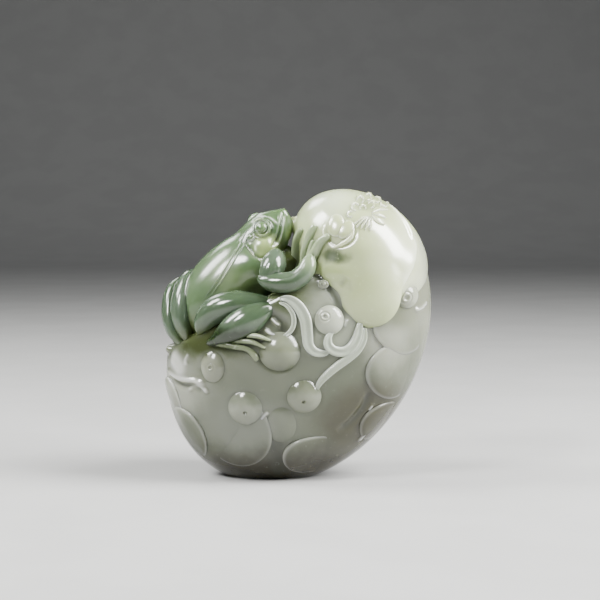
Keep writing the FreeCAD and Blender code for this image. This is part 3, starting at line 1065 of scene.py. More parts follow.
FROG_FINISH = JadeFinish(
    "green_nephrite",
    LEAF_GREEN,
    (0.085, 0.13, 0.065),
    zones=(
        Zone((0.28, 0.35, 0.14), (-0.4, -7.0, 48.0), 1.5, 4.6, 0.85),
        Zone((0.20, 0.27, 0.09), (3.6, -4.0, 51.5), 1.0, 3.4, 0.8),
        Zone((0.085, 0.10, 0.03), (-14.0, -6.0, 29.0), 1.5, 7.5, 0.85, (0.7, 0.5, 1.0)),
        Zone((0.15, 0.20, 0.10), (-8.5, -9.0, 41.5), 1.0, 6.5, 0.75, (1.2, 0.6, 0.8)),
        Zone((0.11, 0.16, 0.055), (-4.0, -9.0, 40.0), 1.0, 5.0, 0.7),
        Zone((0.055, 0.12, 0.035), (-3.0, 0.0, 56.0), 1.0, 5.0, 0.7),
        Zone((0.045, 0.095, 0.035), (-12.0, 0.0, 50.0), 3.0, 7.0, 0.6),
        # Painted shade in the gap under the chin.
        Zone((0.05, 0.065, 0.012), (4.4, -5.5, 45.6), 1.6, 4.2, 0.92, (1.0, 0.6, 1.0)),
    ),
    glow=0.8,
    rough=0.18,
)
LIMB_FINISH = JadeFinish(
    "dark_green_nephrite",
    (0.042, 0.068, 0.034),
    (0.08, 0.11, 0.075),
    zones=(
        Zone((0.06, 0.075, 0.022), (-13.0, -9.0, 28.0), 2.0, 6.5, 0.9, (0.6, 0.5, 1.0)),
        # Painted shade along the underside of the near shin, where it meets the pod.
        Zone((0.008, 0.018, 0.003), (-7.0, -15.0, 29.0), 2.4, 5.2, 0.97, (0.42, 0.5, 1.1)),
        Zone((0.04, 0.065, 0.03), (2.0, -15.0, 39.5), 1.0, 5.0, 0.85, (0.7, 0.6, 1.0)),
        Zone((0.19, 0.25, 0.14), (8.6, -15.0, 46.0), 1.0, 5.5, 0.85),
        Zone((0.03, 0.05, 0.02), (-22.0, 0.0, 34.0), 1.0, 4.0, 0.8),
    ),
    glow=0.8,
    rough=0.13,
    depth=2.0,
)
DIGIT_FINISH = JadeFinish(
    "pale_green_nephrite",
    (0.22, 0.28, 0.15),
    (0.31, 0.37, 0.23),
    depth=1.0,
    zones=(
        Zone((0.13, 0.15, 0.085), (-2.0, -13.0, 27.0), 3.0, 9.0, 0.9),
        Zone(MOSS_AND_SHADE, (-9.0, -13.0, 29.0), 2.0, 7.0, 0.9),
    ),
    glow=0.5,
)


# ---- The carving ----------------------------------------------------------------------------------

PEBBLE = Ball((6.0, 0.0, 29.0), (32.8, 25.5, 16.5), 32.4)
POD = Form(
    heart=(6.0, 0.0, 27.0),
    masses=(
        (PEBBLE, 0.0),
        (Ball((-21.2, -2.0, 27.9), (1.9, 1.5, 3.0)), 0.5),
        (Ball((19.0, -2.0, 9.4), (2.8, 1.5, 4.0), 50.0), 0.6),
    ),
    cuts=((Slab((0.0, 0.0, 38.7), (-0.46, 0.0, 0.888)), 2.2), (Slab((0.0, 0.0, 0.0), (0.0, 0.0, -1.0)), 0.2)),
)
DOME = Form(
    heart=(18.0, -2.0, 45.0),
    masses=(
        (Ball((18.9, -1.2, 47.4), (15.2, 11.4, 15.2), -54.0), 0.0),
        (Ball((20.0, -2.0, 42.8), (11.0, 11.0, 13.4)), 2.5),
        (Ball((20.3, -13.8, 39.0), (6.7, 6.4, 2.7)), 2.0),
        (Ball((13.9, -11.9, 43.6), (4.0, 4.1, 3.6)), 2.8),
        (Ball((4.9, -2.6, 53.0), (1.5, 1.8, 1.35)), 0.8),
    ),
)
NECK = (-4.2, 0.0, 48.6)
NECK_WAY = (0.77, 0.0, 0.64)
FROG_MASSES = (
    (Ball((-8.5, -1.5, 40.4), (14.0, 7.8, 8.5), 43.0), 0.0),
    (Ball((0.4, -1.5, 43.6), (5.0, 5.0, 6.8)), 2.0),
    (Ball((-3.2, -4.8, 44.2), (4.6, 3.9, 5.2)), 2.0),
    (Ball((-0.8, -1.5, 51.2), (6.0, 4.2, 6.2), 60.0), 2.0),
    (Ball((1.6, -2.0, 54.4), (4.2, 3.0, 3.4), 78.0), 1.0),
    (Ball((2.4, -3.0, 51.8), (4.1, 1.9, 3.8)), 1.2),
    (Ball((-1.2, -5.4, 48.3), (3.0, 2.9, 3.3), 50.0), 0.8),
    (Ball((4.2, -2.4, 46.0), (2.0, 2.4, 3.3)), 0.8),
)
BROW = (Slab((-0.6, 0.0, 55.6), (-0.179, 0.0, 0.984)), 0.35)
SNOUT = (Slab((3.8, 0.0, 55.35), (0.83, 0.0, 0.55)), 0.3)
FROG_SKIN = Form(heart=(-5.0, -1.5, 44.0), masses=FROG_MASSES, cuts=(BROW, SNOUT))
TORSO = Form(
    heart=(-7.0, -1.5, 41.5),
    masses=FROG_MASSES,
    cuts=(BROW, SNOUT, (Slab(NECK, NECK_WAY), 0.0)),
)
NAPE = tuple(n - 0.5 * w for n, w in zip(NECK, NECK_WAY))
NAPE_WAY = tuple(-w for w in NECK_WAY)
HEAD = Form(
    heart=(-0.6, -1.5, 51.0),
    masses=FROG_MASSES,
    cuts=(BROW, SNOUT, (Slab(NAPE, NAPE_WAY), 0.0)),
)


@dataclass(frozen=True)
class Piece:
    """One shown piece and the CAD node that it stands for.

    Args:
        node: CAD node and piece name.
        maker: Its mesh.
        slot: Material slot of the record. Not used.
        finish: Its finish.
        siblings: More meshes of the same node, such as the other fingers.
    """

    node: str
    maker: Boulder | Sweep | Boss
    slot: str
    finish: JadeFinish
    siblings: tuple[Sweep | Boss, ...] = ()


class Workshop:
    """Makes pieces, gives them their finish and hands them to the frame."""

    def __init__(self) -> None:
        """Starts with no finish made."""
        self.finishes: dict[str, bpy.types.Material] = {}

    def dress(self, made: bpy.types.Object, piece: Piece) -> None:
        """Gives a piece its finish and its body.

        Args:
            made: The shown object.
            piece: What it stands for.
        """
        if piece.finish.name not in self.finishes:
            self.finishes[piece.finish.name] = piece.finish.build()
        made.data.materials.append(self.finishes[piece.finish.name])
        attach(made, "root")
        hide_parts(piece.node)

    def make(self, piece: Piece) -> None:
        """Builds every mesh of a piece.

        Args:
            piece: The piece.
        """
        for index, maker in enumerate((piece.maker, *piece.siblings)):
            name = piece.node if not piece.siblings else f"{piece.node}_{index + 1}"
            made = maker.build(name)
            self.dress(made, piece)
            LOG.info("%s: %d faces", name, len(made.data.polygons))


def stations(*rows: tuple[float, float, float, float, float]) -> tuple[Station, ...]:
    """Stations from rows of x, z, y or lift, half width and half height."""
    return tuple(Station(*row) for row in rows)


@dataclass(frozen=True)
class Pod:
    """The rounded lotus pod with its low relief, leaf lobes and seeds.

    Args:
        relief: Height of the main cut lines, in mm.
    """

    relief: float = 0.55

    def strokes(self) -> tuple[Stroke, ...]:
        """Tool marks on the pod.

        Returns:
            The strokes.
        """
        line = self.relief
        moats = [
            Stroke(Mark.GROOVE, ring_path(x, z, r), 0.12, 0.6, True)
            for x, z, r in (
                (12.5, 32.8, 3.0),
                (7.2, 16.6, 3.3),
                (-5.3, 14.1, 3.2),
                (-12.2, 22.9, 2.7),
                (1.8, 26.0, 3.8),
            )
        ]
        return (
            *moats,
            Stroke(
                Mark.RIDGE,
                ((-21.5, 22.2), (-19.5, 20.7), (-17.5, 20.2), (-15.5, 20.0), (-13.5, 19.0)),
                line,
                0.55,
            ),
            Stroke(Mark.RIDGE, ((-17.4, 18.2), (-15.5, 18.9), (-14.0, 18.3), (-12.8, 17.4)), line, 0.45),
            Stroke(Mark.GROOVE, ((-21.0, 21.0), (-18.5, 19.2), (-16.0, 18.9), (-13.6, 17.9)), line, 0.5),
            Stroke(Mark.RIDGE, ((-17.0, 25.8), (-17.6, 24.4), (-17.4, 23.2)), 0.3, 0.4),
            Stroke(Mark.RIDGE, ((-19.8, 24.5), (-18.8, 22.8)), 0.6, 1.8, True),
            Stroke(Mark.GROOVE, ((-14.2, 23.4), (-14.3, 22.2), (-13.6, 20.8)), 0.3, 0.35),
            Stroke(Mark.RIDGE, ((-2.0, 11.8), (-1.0, 13.0), (-0.2, 13.6)), 0.4, 0.4),
            Stroke(Mark.GROOVE, ((1.0, 6.6), (1.8, 3.6), (2.0, 1.2)), 0.6, 2.0, True),
            Stroke(Mark.GROOVE, ((0.6, 33.5), (2.4, 32.2), (2.8, 30.6)), 0.5, 1.5, True),
            Stroke(Mark.RIDGE, ((0.2, 33.4), (1.0, 32.4), (2.2, 31.6)), 0.9, 0.35),
            Stroke(Mark.RIDGE, ((-1.0, 31.0), (0.0, 30.0), (1.4, 29.6)), 0.7, 0.35),
            Stroke(Mark.RIDGE, ((15.4, 31.4), (15.8, 32.3), (16.2, 33.0)), 0.35, 0.3),
            Stroke(Mark.RIDGE, ((5.5, 4.6), (7.2, 4.7)), 0.3, 0.3),
            Stroke(Mark.RIDGE, ((20.6, 13.8), (21.5, 15.0)), 0.35, 0.35),
            Stroke(Mark.RIDGE, ((30.4, 34.8), (31.8, 35.4), (33.0, 36.8)), 0.4, 0.35),
            Stroke(Mark.RIDGE, ((18.4, 7.4), (19.8, 9.0), (21.2, 10.6)), 0.5, 0.45),
            Stroke(Mark.GROOVE, ((14.0, 9.4), (17.0, 11.4), (19.6, 14.6), (21.0, 17.8)), 0.5, 0.9),
            Stroke(
                Mark.GROOVE, ((4.6, 44.6), (8.0, 44.0), (12.0, 40.0), (14.6, 36.0), (16.4, 33.0)), 0.5, 1.0
            ),
        )

    def pieces(self) -> list[Piece]:
        """The pod and what is carved on it.

        Returns:
            The pieces.
        """
        lobes = {
            "rim_leaf_upper": Boss(
                POD, 0, 0, 8.6, 7.4, 0.9, 0.4, tilt=0.5, painted_edge_glow=0.6,
                raised_edge=205, anchor=(28.4, -9.5, 33.8)
            ),
            "rim_leaf_lower": Boss(
                POD, 0, 0, 8.6, 6.6, 1.1, 0.45, tilt=0.5, painted_edge_glow=0.6,
                raised_edge=185, anchor=(27.2, -9.0, 23.3)
            ),
            "rim_leaf_corner": Boss(
                POD, 0, 0, 6.4, 5.0, 0.9, 0.45, tilt=0.4, painted_edge_glow=0.5,
                raised_edge=175, anchor=(23.0, -5.5, 12.4)
            ),
            "base_leaf_front": Boss(
                POD, -8.0, 8.6, 8.3, 8.6, 1.1, 0.4, tilt=0.1, raised_edge=-38, painted_edge_glow=0.5
            ),
            "base_leaf_right": Boss(
                POD, 10.2, 4.0, 8.0, 5.4, 1.1, 0.4, tilt=0.3, raised_edge=178, painted_edge_glow=0.6
            ),
            "side_leaf": Boss(
                POD, 0, 0, 5.6, 6.2, 0.8, 0.4, tilt=0.3, painted_edge_glow=0.6,
                raised_edge=22, anchor=(-18.8, -5.0, 8.2)
            ),
            "side_tongue": Boss(
                POD, 0, 0, 4.4, 5.4, 0.8, 0.5, tilt=0.3, raised_edge=70, anchor=(-20.6, -3.0, 15.8)
            ),
        }
        seeds = {
            "seed_middle": Boss(
                POD, 12.5, 32.8, 3.0, 3.0, 1.2, 1.5, painted_edge_glow=0.2, pit=0.38, pit_place=(-1.0, 0.7), ring=0.9
            ),
            "seed_lower_right": Boss(
                POD, 7.2, 16.6, 3.5, 3.5, 1.5, 1.8, painted_edge_glow=0.2, pit=0.3, pit_place=(-0.2, -0.6)
            ),
            "seed_lower_left": Boss(
                POD, -5.3, 14.1, 3.6, 3.6, 1.4, 1.8, painted_edge_glow=0.2, pit=0.3, pit_place=(0.3, -0.4)
            ),
            "seed_left": Boss(POD, -12.2, 22.9, 2.7, 3.2, 1.0, 1.8, painted_edge_glow=0.2, pit=0.3, ring=0.8),
            "seed_under_toes": Boss(POD, 2.0, 26.2, 4.3, 4.0, 1.9, 2.0, painted_edge_glow=0.2),
            "seed_rim": Boss(
                POD, 28.6, 38.2, 3.1, 2.9, 1.9, 1.2, painted_edge_glow=0.4, pit=0.5, pit_place=(-1.1, -0.7), ring=1.1
            ),
            "seed_base": Boss(POD, 2.4, 10.6, 3.0, 4.0, 0.8, 2.0, painted_edge_glow=0.1),
            "seed_small": Boss(POD, 11.2, 40.3, 1.1, 0.9, 0.9, 0.8, sink=1.5, ring=0.5),
        }
        stone = Piece("pod_body", Boulder(POD, 125, 0.62, self.strokes()), "pale_jade", POD_FINISH)
        return [
            stone,
            *(Piece(name, maker, "pale_jade", LOBE_FINISH) for name, maker in lobes.items()),
            *(Piece(name, maker, "pale_jade", SEED_FINISH) for name, maker in seeds.items()),
        ]


@dataclass(frozen=True)
class LeafDome:
    """The domed lotus leaf at the upper right, with the sprig carved on it.

    Args:
        bury: How deep the sprig reaches into the dome, in mm.
        curl_turn: How far each curled tip goes round, in degrees.
    """

    bury: float = 1.2
    curl_turn: float = 250.0

    def strokes(self) -> tuple[Stroke, ...]:
        """Tool marks on the dome.

        Returns:
            The strokes.
        """
        return (
            Stroke(
                Mark.STEP,
                ((27.4, 38.4), (28.6, 41.0), (30.0, 43.8), (30.6, 46.0))
                + ((30.6, 48.6), (29.0, 52.0), (26.0, 56.0)),
                0.4,
                1.0,
            ),
            Stroke(Mark.GROOVE, ring_path(14.9, 51.6, 3.2, 150, 220), 0.3, 0.45),
            Stroke(Mark.GROOVE, ((14.6, 39.8), (15.4, 41.0), (15.9, 42.0)), 0.2, 0.8),
            Stroke(Mark.RIDGE, ((24.2, 57.6), (26.6, 55.2), (28.6, 52.2), (29.8, 49.4)), 0.45, 0.4),
        )

    def leaflet(
        self, root: tuple[float, float], middle: tuple[float, float], tip: tuple[float, float], wide: float
    ) -> Sweep:
        """A small leaf of the sprig, in low relief on the dome.

        Args:
            root: Where it starts on the drawing, in mm.
            middle: Its widest place, in mm.
            tip: Where it ends, in mm.
            wide: Half width, in mm.

        Returns:
            The leaf.
        """
        rows = stations(
            (*root, 0.05, 0.6 * wide, 0.35),
            (*middle, 0.15, wide, 0.45),
            (*tip, 0.1, 0.7 * wide, 0.4),
        )
        return Sweep(rows, DOME, bury=self.bury, rings=24, sides=16, channel=0.2, painted_edge_glow=1.0)

    def curl(self, x: float, z: float, radius: float, start: float) -> Sweep:
        """A curled tip of the sprig, in low relief on the dome.

        Args:
            x: Middle of the curl across the drawing, in mm.
            z: Middle of the curl up the drawing, in mm.
            radius: Radius of the curl, in mm.
            start: Where the curl starts, in degrees.

        Returns:
            The curl.
        """
        path = ring_path(x, z, radius, start, self.curl_turn)
        rows = stations(*((px, pz, 0.05, 0.22, 0.36) for px, pz in path))
        return Sweep(rows, DOME, bury=self.bury, rings=36, sides=14, painted_edge_glow=1.0)

    def pieces(self) -> list[Piece]:
        """The dome and its sprig.

        Returns:
            The pieces.
        """
        look = {"slot": "yellow_jade", "finish": DOME_FINISH}
        fan = tuple(
            self.leaflet(
                (20.9 + 0.12 * i, 54.5),
                (18.9 + 0.62 * i, 53.9 - 0.12 * i),
                (17.0 + 1.0 * i, 52.3 - 0.22 * i),
                0.24,
            )
            for i in range(5)
        )
        leaf = (
            self.leaflet((21.4, 55.0), (22.7, 54.9), (24.3, 54.3), 0.62),
            self.leaflet((21.5, 54.7), (22.6, 53.7), (24.0, 52.7), 0.6),
            self.leaflet((21.4, 55.3), (22.8, 56.0), (24.6, 55.9), 0.5),
        )
        curls = tuple(
            self.curl(x, z, radius, start)
            for x, z, radius, start in (
                (17.9, 56.5, 0.75, 30.0),
                (18.9, 58.0, 0.7, 300.0),
                (20.6, 58.6, 0.7, 240.0),
                (22.3, 58.2, 0.75, 200.0),
                (24.0, 57.3, 0.75, 150.0),
                (19.5, 56.3, 0.6, 330.0),
                (21.2, 57.0, 0.65, 260.0),
                (16.9, 55.0, 0.6, 60.0),
            )
        )
        petals = (*fan, *leaf, *curls)
        stem = Sweep(
            stations(
                (17.6, 52.0, 0.15, 0.35, 0.35),
                (17.0, 50.2, 0.15, 0.42, 0.4),
                (15.2, 48.8, 0.15, 0.42, 0.4),
                (13.2, 47.8, 0.1, 0.3, 0.3),
            ),
            DOME,
            bury=self.bury,
            rings=40,
            sides=16,
        )
        return [
            Piece("leaf_dome", Boulder(DOME, 84, 0.7, self.strokes()), **look),
            Piece("sprig_bud", Boss(DOME, 13.9, 52.7, 1.8, 2.5, 0.9, 0.6, turn=8, sink=1.5), **look),
            Piece("sprig_curl", Boss(DOME, 15.9, 51.8, 1.5, 2.1, 0.75, 0.5, turn=-35, sink=1.5), **look),
            Piece("sprig_stem", stem, **look),
            Piece("sprig_blossom", petals[0], siblings=petals[1:], **look),
        ]


@dataclass(frozen=True)
class Tendrils:
    """The ribbons that curl over the pod.

    Args:
        bury: How deep a ribbon reaches into the pod, in mm.
        channel: Depth of the hollow down its middle, as a share of its height.
    """

    bury: float = 1.5
    channel: float = 0.42

    def ribbon(self, *rows: tuple[float, float, float, float, float]) -> Sweep:
        """A ribbon on the pod.

        Args:
            rows: Rows of x, z, lift, half width and half height, in mm.

        Returns:
            The ribbon.
        """
        return Sweep(
            stations(*rows), POD, bury=self.bury, channel=self.channel, rings=110, sides=28, blunt=0.35
        )

    def pieces(self) -> list[Piece]:
        """The four ribbons.

        Returns:
            The pieces.
        """
        look = {"slot": "white_jade", "finish": WHITE_FINISH}
        long = self.ribbon(
            (2.0, 37.2, 0.1, 0.6, 0.6),
            (4.0, 37.1, 0.15, 1.0, 0.8),
            (6.0, 35.6, 0.15, 1.2, 0.8),
            (7.4, 33.0, 0.15, 1.2, 0.8),
            (7.8, 30.0, 0.15, 1.15, 0.8),
            (8.1, 27.6, 0.15, 1.1, 0.8),
            (9.3, 26.2, 0.15, 1.0, 0.8),
            (11.2, 25.8, 0.1, 0.8, 0.6),
            (12.6, 26.2, 0.0, 0.4, 0.4),
        )
        hook = self.ribbon(
            (13.5, 30.6, 0.0, 0.3, 0.4),
            (12.3, 29.3, 0.15, 0.8, 0.8),
            (12.2, 27.6, 0.2, 1.0, 0.9),
            (13.4, 26.4, 0.2, 1.0, 0.9),
            (15.4, 26.2, 0.2, 1.0, 0.9),
            (17.0, 27.2, 0.2, 1.0, 0.9),
            (18.2, 29.2, 0.2, 1.0, 0.9),
            (18.9, 32.2, 0.1, 0.9, 0.8),
        )
        stem = self.ribbon(
            (19.8, 31.2, 0.1, 0.7, 0.7),
            (19.5, 28.8, 0.15, 0.85, 0.8),
            (18.3, 26.6, 0.15, 0.9, 0.8),
            (16.4, 24.9, 0.15, 0.9, 0.8),
            (14.0, 23.1, 0.15, 0.85, 0.8),
            (12.0, 21.4, 0.15, 0.8, 0.8),
            (10.5, 19.8, 0.15, 0.75, 0.8),
            (9.7, 18.2, 0.1, 0.6, 0.7),
        )
        ring = self.ribbon(
            (2.0, 36.4, 0.1, 0.4, 0.5),
            (3.6, 35.7, 0.15, 0.5, 0.7),
            (4.8, 34.0, 0.15, 0.5, 0.7),
            (5.0, 32.0, 0.15, 0.5, 0.7),
            (4.2, 30.3, 0.15, 0.5, 0.7),
            (2.4, 29.0, 0.1, 0.4, 0.6),
            (0.8, 28.4, 0.0, 0.3, 0.4),
        )
        return [
            Piece("tendril_long", long, **look),
            Piece("tendril_hook", hook, **look),
            Piece("tendril_stem", stem, **look),
            Piece("tendril_ring", ring, **look),
        ]


@dataclass(frozen=True)
class Frog:
    """The frog, with its near side towards the carved face.

    Args:
        eye: Middle of the near eye on the drawing, in mm.
        eye_radius: Radius of the near eye, in mm.
        lid_radius: Radius of the ring round it, in mm.
        fold_gap: Distance between the two folds of the back, in mm.
        digit_bury: How deep fingers and toes reach into what they lie on, in mm.
    """

    eye: tuple[float, float] = (-1.8, 52.2)
    eye_radius: float = 1.15
    lid_radius: float = 1.65
    fold_gap: float = 0.95
    digit_bury: float = 1.6

    def torso_strokes(self) -> tuple[Stroke, ...]:
        """Tool marks on the flank.

        Returns:
            The strokes.
        """
        return (
            Stroke(
                Mark.GROOVE, ((-5.0, 50.4), (-4.6, 48.6), (-3.4, 46.8), (-1.6, 45.6), (0.6, 45.4)), 0.5, 0.6
            ),
        )

    def head_strokes(self) -> tuple[Stroke, ...]:
        """Tool marks on the head.

        Returns:
            The strokes.
        """
        return (
            Stroke(
                Mark.GROOVE, ((2.7, 55.6), (2.4, 53.6), (2.0, 51.4), (1.2, 49.4), (0.2, 48.0)), 0.32, 0.28
            ),
            Stroke(Mark.RIDGE, ((2.3, 55.4), (1.9, 53.4), (1.5, 51.4), (0.7, 49.6)), 0.2, 0.4),
            Stroke(Mark.RIDGE, ((3.1, 55.2), (2.8, 53.2), (2.4, 51.0), (1.7, 48.9), (0.6, 47.7)), 0.3, 0.28),
            Stroke(Mark.GROOVE, ring_path(*self.eye, 2.2, -150, 300), 0.25, 0.35),
            Stroke(Mark.GROOVE, ((-4.6, 48.6), (-3.6, 47.0), (-2.0, 45.9), (0.0, 46.0)), 0.5, 0.5),
            Stroke(Mark.RIDGE, ((-3.4, 53.9), (-1.6, 54.5), (0.4, 53.9), (1.6, 52.6)), 0.3, 0.35),
        )

    def digits(self, host: Form, *routes: tuple[tuple[float, float, float, float], ...]) -> tuple[Sweep, ...]:
        """Fingers or toes that lie on a form.

        Args:
            host: What they lie on.
            routes: For each digit, rows of x, z, lift and half width, in mm.

        Returns:
            The digits.
        """
        return tuple(
            Sweep(
                stations(*((x, z, lift, wide, wide * 1.15) for x, z, lift, wide in route)),
                host,
                bury=self.digit_bury,
                rings=48,
                sides=24,
                blunt=0.4,
                painted_edge_glow=0.35,
            )
            for route in routes
        )

    def limb(self, *rows: tuple[float, float, float, float, float]) -> Sweep:
        """A limb that stands free of any one host."""
        return Sweep(stations(*rows), rings=90, sides=48, blunt=0.7, painted_edge_glow=0.08)

    def pieces(self) -> list[Piece]:
        """Every piece of the frog.

        Returns:
            The pieces.
        """
        skin = {"slot": "green_jade", "finish": FROG_FINISH}
        limb = {"slot": "green_jade", "finish": LIMB_FINISH}
        pale = {"slot": "green_jade", "finish": DIGIT_FINISH}
        folds = tuple(
            Sweep(
                stations(
                    (-4.7 + s, 51.8 - s, 0.0, 0.15, 0.1),
                    (-5.8 + s, 49.8, -0.05, 0.24, 0.3),
                    (-7.5 + s, 46.9, -0.05, 0.26, 0.3),
                    (-9.2 + s, 44.1, -0.05, 0.26, 0.28),
                    (-11.4 + s, 40.7, -0.05, 0.24, 0.25),
                    (-14.6 + s, 36.0, -0.1, 0.15, 0.1),
                ),
                FROG_SKIN,
                bury=1.0,
                rings=70,
                sides=16,
            )
            for s in (0.0, self.fold_gap)
        )
        fingers = self.digits(
            DOME,
            ((7.0, 43.6, 1.0, 1.0), (6.0, 46.4, 0.7, 0.75), (5.9, 49.2, 0.6, 0.62), (7.0, 51.9, 0.5, 0.72)),
            ((8.2, 44.4, 1.2, 1.0), (8.0, 47.2, 0.9, 0.8), (8.6, 50.0, 0.7, 0.7), (9.8, 52.7, 0.5, 0.8)),
            ((8.9, 45.0, 1.0, 0.8), (8.9, 47.2, 0.6, 0.6), (9.4, 49.6, 0.4, 0.5)),
            ((9.0, 44.2, 1.2, 1.1), (9.9, 46.8, 0.9, 0.9), (10.8, 49.0, 0.7, 0.8), (12.7, 50.6, 0.5, 0.75)),
        )
        toes = self.digits(
            POD,
            ((-9.0, 29.8, 0.5, 0.9), (-5.6, 29.7, 0.5, 0.6), (-2.4, 29.4, 0.9, 0.5), (0.2, 28.6, 1.6, 0.4)),
            ((-10.0, 28.7, 0.4, 0.9), (-6.6, 28.5, 0.5, 0.6), (-3.6, 28.2, 0.7, 0.5), (-0.8, 27.0, 1.3, 0.4)),
            (
                (-11.6, 28.2, 0.4, 1.0),
                (-8.0, 27.4, 0.5, 0.65),
                (-4.8, 26.7, 0.5, 0.55),
                (-3.2, 25.5, 0.5, 0.8),
                (-2.6, 24.3, 0.4, 0.95),
            ),
        )
        eyelid = Sweep(
            stations(*((x, z, 0.1, 0.26, 0.36) for x, z in ring_path(*self.eye, self.lid_radius, -120, 330))),
            HEAD,
            bury=1.0,
            rings=90,
            sides=20,
        )
        near_eye = Boss(HEAD, *self.eye, self.eye_radius, self.eye_radius, 0.95, 0.8, sink=1.5)
        far_eye = Boss(HEAD, 0, 0, 1.5, 1.5, 1.0, 0.8, sink=1.5, anchor=(-4.2, 2.6, 55.0))
        eardrum = Boss(HEAD, -4.0, 50.2, 0.95, 0.95, 0.5, 0.6, sink=1.5, ring=0.6)
        far_arm = Sweep(
            stations(
                (-0.6, 46.0, 4.0, 1.6, 1.8),
                (1.6, 44.2, 5.6, 2.0, 2.0),
                (4.6, 43.6, 6.4, 1.8, 1.8),
                (6.8, 45.2, 6.6, 1.6, 1.5),
                (8.0, 47.6, 6.4, 1.2, 1.2),
            ),
            facing=(0.0, 1.0, 0.0),
            rings=72,
            sides=32,
            blunt=0.6,
        )
        return [
            Piece("frog_torso", Boulder(TORSO, 74, 0.8, self.torso_strokes()), **skin),
            Piece("frog_head", Boulder(HEAD, 70, 0.75, self.head_strokes()), **skin),
            Piece("frog_right_eye", near_eye, **skin),
            Piece("frog_right_eyelid", eyelid, **skin),
            Piece("frog_left_eye", far_eye, **skin),
            Piece("frog_right_eardrum", eardrum, **skin),
            Piece("frog_right_folds", folds[0], siblings=folds[1:], **skin),
            Piece(
                "frog_right_thigh",
                self.limb(
                    (-14.9, 29.6, -8.0, 1.6, 2.2),
                    (-13.8, 32.4, -10.0, 2.6, 3.1),
                    (-11.2, 34.9, -11.2, 3.0, 3.5),
                    (-7.4, 36.1, -12.0, 2.8, 3.5),
                    (-3.6, 36.3, -12.6, 2.5, 3.1),
                    (-0.6, 36.3, -13.0, 2.2, 2.7),
                    (1.1, 36.0, -13.2, 1.8, 2.2),
                ),
                **limb,
            ),
            Piece(
                "frog_right_shin",
                self.limb(
                    (1.3, 35.9, -13.6, 1.9, 2.1),
                    (-0.8, 34.9, -14.0, 2.7, 2.7),
                    (-4.1, 33.0, -14.4, 3.3, 3.3),
                    (-7.6, 31.0, -14.0, 3.0, 3.3),
                    (-10.6, 29.1, -13.0, 2.0, 2.8),
                    (-13.2, 27.8, -11.8, 1.2, 2.0),
                ),
                **limb,
            ),
            Piece("frog_right_toes", toes[0], siblings=toes[1:], **pale),
            Piece(
                "frog_left_thigh",
                self.limb(
                    (-15.8, 43.4, 0.0, 1.3, 2.0),
                    (-17.4, 41.2, -1.4, 2.0, 3.0),
                    (-18.4, 37.0, -3.0, 2.4, 3.8),
                    (-18.4, 33.0, -4.4, 2.4, 3.8),
                    (-17.6, 29.8, -5.6, 1.9, 3.0),
                    (-16.6, 27.6, -6.2, 1.1, 2.0),
                ),
                **limb,
            ),
            Piece(
                "frog_left_shin",
                self.limb(
                    (-18.8, 41.8, 0.6, 1.0, 1.6),
                    (-20.5, 39.0, -0.2, 1.7, 2.6),
                    (-21.0, 34.6, -1.6, 1.8, 3.2),
                    (-20.4, 31.0, -3.0, 1.8, 3.2),
                    (-18.8, 28.4, -4.6, 1.5, 2.6),
                    (-17.2, 27.0, -5.6, 1.0, 1.8),
                ),
                **limb,
            ),
            Piece(
                "frog_right_upper_arm",
                self.limb(
                    (1.3, 47.1, -8.8, 2.1, 2.2),
                    (1.1, 45.5, -10.6, 2.5, 2.7),
                    (0.4, 43.6, -12.4, 2.6, 2.8),
                    (-0.7, 41.9, -13.5, 2.3, 2.4),
                    (-1.2, 40.8, -13.8, 1.6, 1.8),
                ),
                **limb,
            ),
            Piece(
                "frog_right_forearm",
                self.limb(
                    (-2.5, 41.9, -13.2, 1.4, 1.8),
                    (-0.9, 41.0, -13.8, 2.0, 2.4),
                    (2.0, 40.6, -14.4, 2.2, 2.6),
                    (5.0, 41.0, -14.8, 2.1, 2.5),
                    (7.2, 42.8, -14.9, 2.1, 2.2),
                    (8.2, 45.0, -14.8, 2.1, 1.8),
                    (8.5, 46.6, -14.4, 1.7, 1.3),
                ),
                **limb,
            ),
            Piece("frog_right_fingers", fingers[0], siblings=fingers[1:], **pale),
            Piece("frog_left_arm", far_arm, **limb),
        ]


# ---- The studio -----------------------------------------------------------------------------------


@dataclass(frozen=True)
class Lamp:
    """A soft panel light.

    Args:
        name: Its name.
        place: Where it stands, in metres.
        wide: Width of the panel, in metres.
        tall: Height of the panel, in metres.
        watts: Its power.
        colour: Linear colour.
    """

    name: str
    place: tuple[float, float, float]
    wide: float
    tall: float
    watts: float
    colour: tuple[float, float, float] = (1.0, 1.0, 1.0)

    def light(self, target: Vector) -> None:
        """Sets the lamp up, facing a target.

        Args:
            target: What it faces, in metres.
        """
        data = bpy.data.lights.new(self.name, "AREA")
        data.shape = "RECTANGLE"
        data.size, data.size_y = self.wide, self.tall
        data.energy = self.watts
        data.color = self.colour
        made = bpy.data.objects.new(self.name, data)
        made.location = self.place
        made.rotation_euler = (target - Vector(self.place)).to_track_quat("-Z", "Y").to_euler()
        bpy.context.scene.collection.objects.link(made)


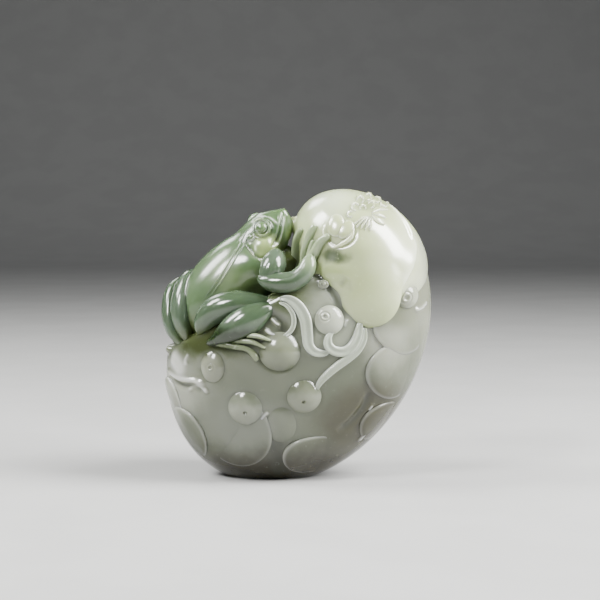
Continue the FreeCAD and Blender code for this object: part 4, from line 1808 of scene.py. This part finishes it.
@dataclass(frozen=True)
class Studio:
    """A pale floor that sweeps up behind, soft lamps and the camera.

    Args:
        floor: Finish of the floor.
        lamps: The lamps.
        floor_half: Half the length of the floor sheet before it is bent, in metres.
        bend_start: Where the floor starts to rise, in metres behind the stone.
        bend_radius: Radius of the rise, in metres.
        room_light: Strength of the light from all round.
    """

    floor: MattFinish = MattFinish("pale_paper", (0.34, 0.34, 0.33))
    lamps: tuple[Lamp, ...] = (
        Lamp("key", (-0.29, 0.00, 0.32), 0.14, 0.18, 3.0),
        Lamp("side", (-0.21, -0.23, 0.29), 0.10, 0.12, 2.6),
        Lamp("strip", (0.30, -0.08, 0.27), 0.18, 0.36, 9.0),
        Lamp("back", (-0.16, 0.27, 0.30), 0.12, 0.12, 0.5),
    )
    floor_half: float = 1.6
    bend_start: float = 0.9
    bend_radius: float = 0.5
    room_light: float = 0.12

    def sweep_floor(self) -> None:
        """Makes the floor and backdrop as one curved sheet."""
        bm = bmesh.new()
        bmesh.ops.create_grid(bm, x_segments=2, y_segments=60, size=self.floor_half)
        for vert in bm.verts:
            past = max(0.0, vert.co.y - self.bend_start)
            turn = min(past / self.bend_radius, math.pi / 2)
            climb = max(0.0, past - self.bend_radius * math.pi / 2)
            if past > 0:
                vert.co.y = self.bend_start + self.bend_radius * math.sin(turn)
                vert.co.z = self.bend_radius * (1 - math.cos(turn)) + climb
            vert.co.x *= 2.0
        mesh = bpy.data.meshes.new("floor")
        bm.to_mesh(mesh)
        bm.free()
        mesh.polygons.foreach_set("use_smooth", [True] * len(mesh.polygons))
        sheet = bpy.data.objects.new("floor", mesh)
        sheet.data.materials.append(self.floor.build())
        bpy.context.scene.collection.objects.link(sheet)

    def set_up(self) -> None:
        """Lights the stone and places the camera at the eye of the drawing."""
        self.sweep_floor()
        target = Vector(EASEL.centre) * MM
        for lamp in self.lamps:
            lamp.light(target)
        world = bpy.data.worlds.new("room")
        world.use_nodes = True
        sky = world.node_tree.nodes["Background"]
        sky.inputs["Color"].default_value = (0.80, 0.84, 0.90, 1.0)
        sky.inputs["Strength"].default_value = self.room_light
        bpy.context.scene.world = world
        data = bpy.data.cameras.new("camera")
        data.sensor_width = 36.0
        data.lens = data.sensor_width * EASEL.reach / EASEL.width
        camera = bpy.data.objects.new("camera", data)
        camera.location = Vector(EASEL.eye) * MM
        camera.rotation_euler = (target - camera.location).to_track_quat("-Z", "Y").to_euler()
        data.clip_start, data.clip_end = 0.01, 20.0
        bpy.context.scene.collection.objects.link(camera)
        bpy.context.scene.camera = camera


def main() -> None:
    """Carves every element, then sets up the studio."""
    logging.basicConfig(level=logging.INFO, format="%(name)s: %(message)s")
    workshop = Workshop()
    for element in (Pod(), LeafDome(), Tendrils(), Frog()):
        for piece in element.pieces():
            workshop.make(piece)
    Studio().set_up()


if __name__ == "__main__":
    main()
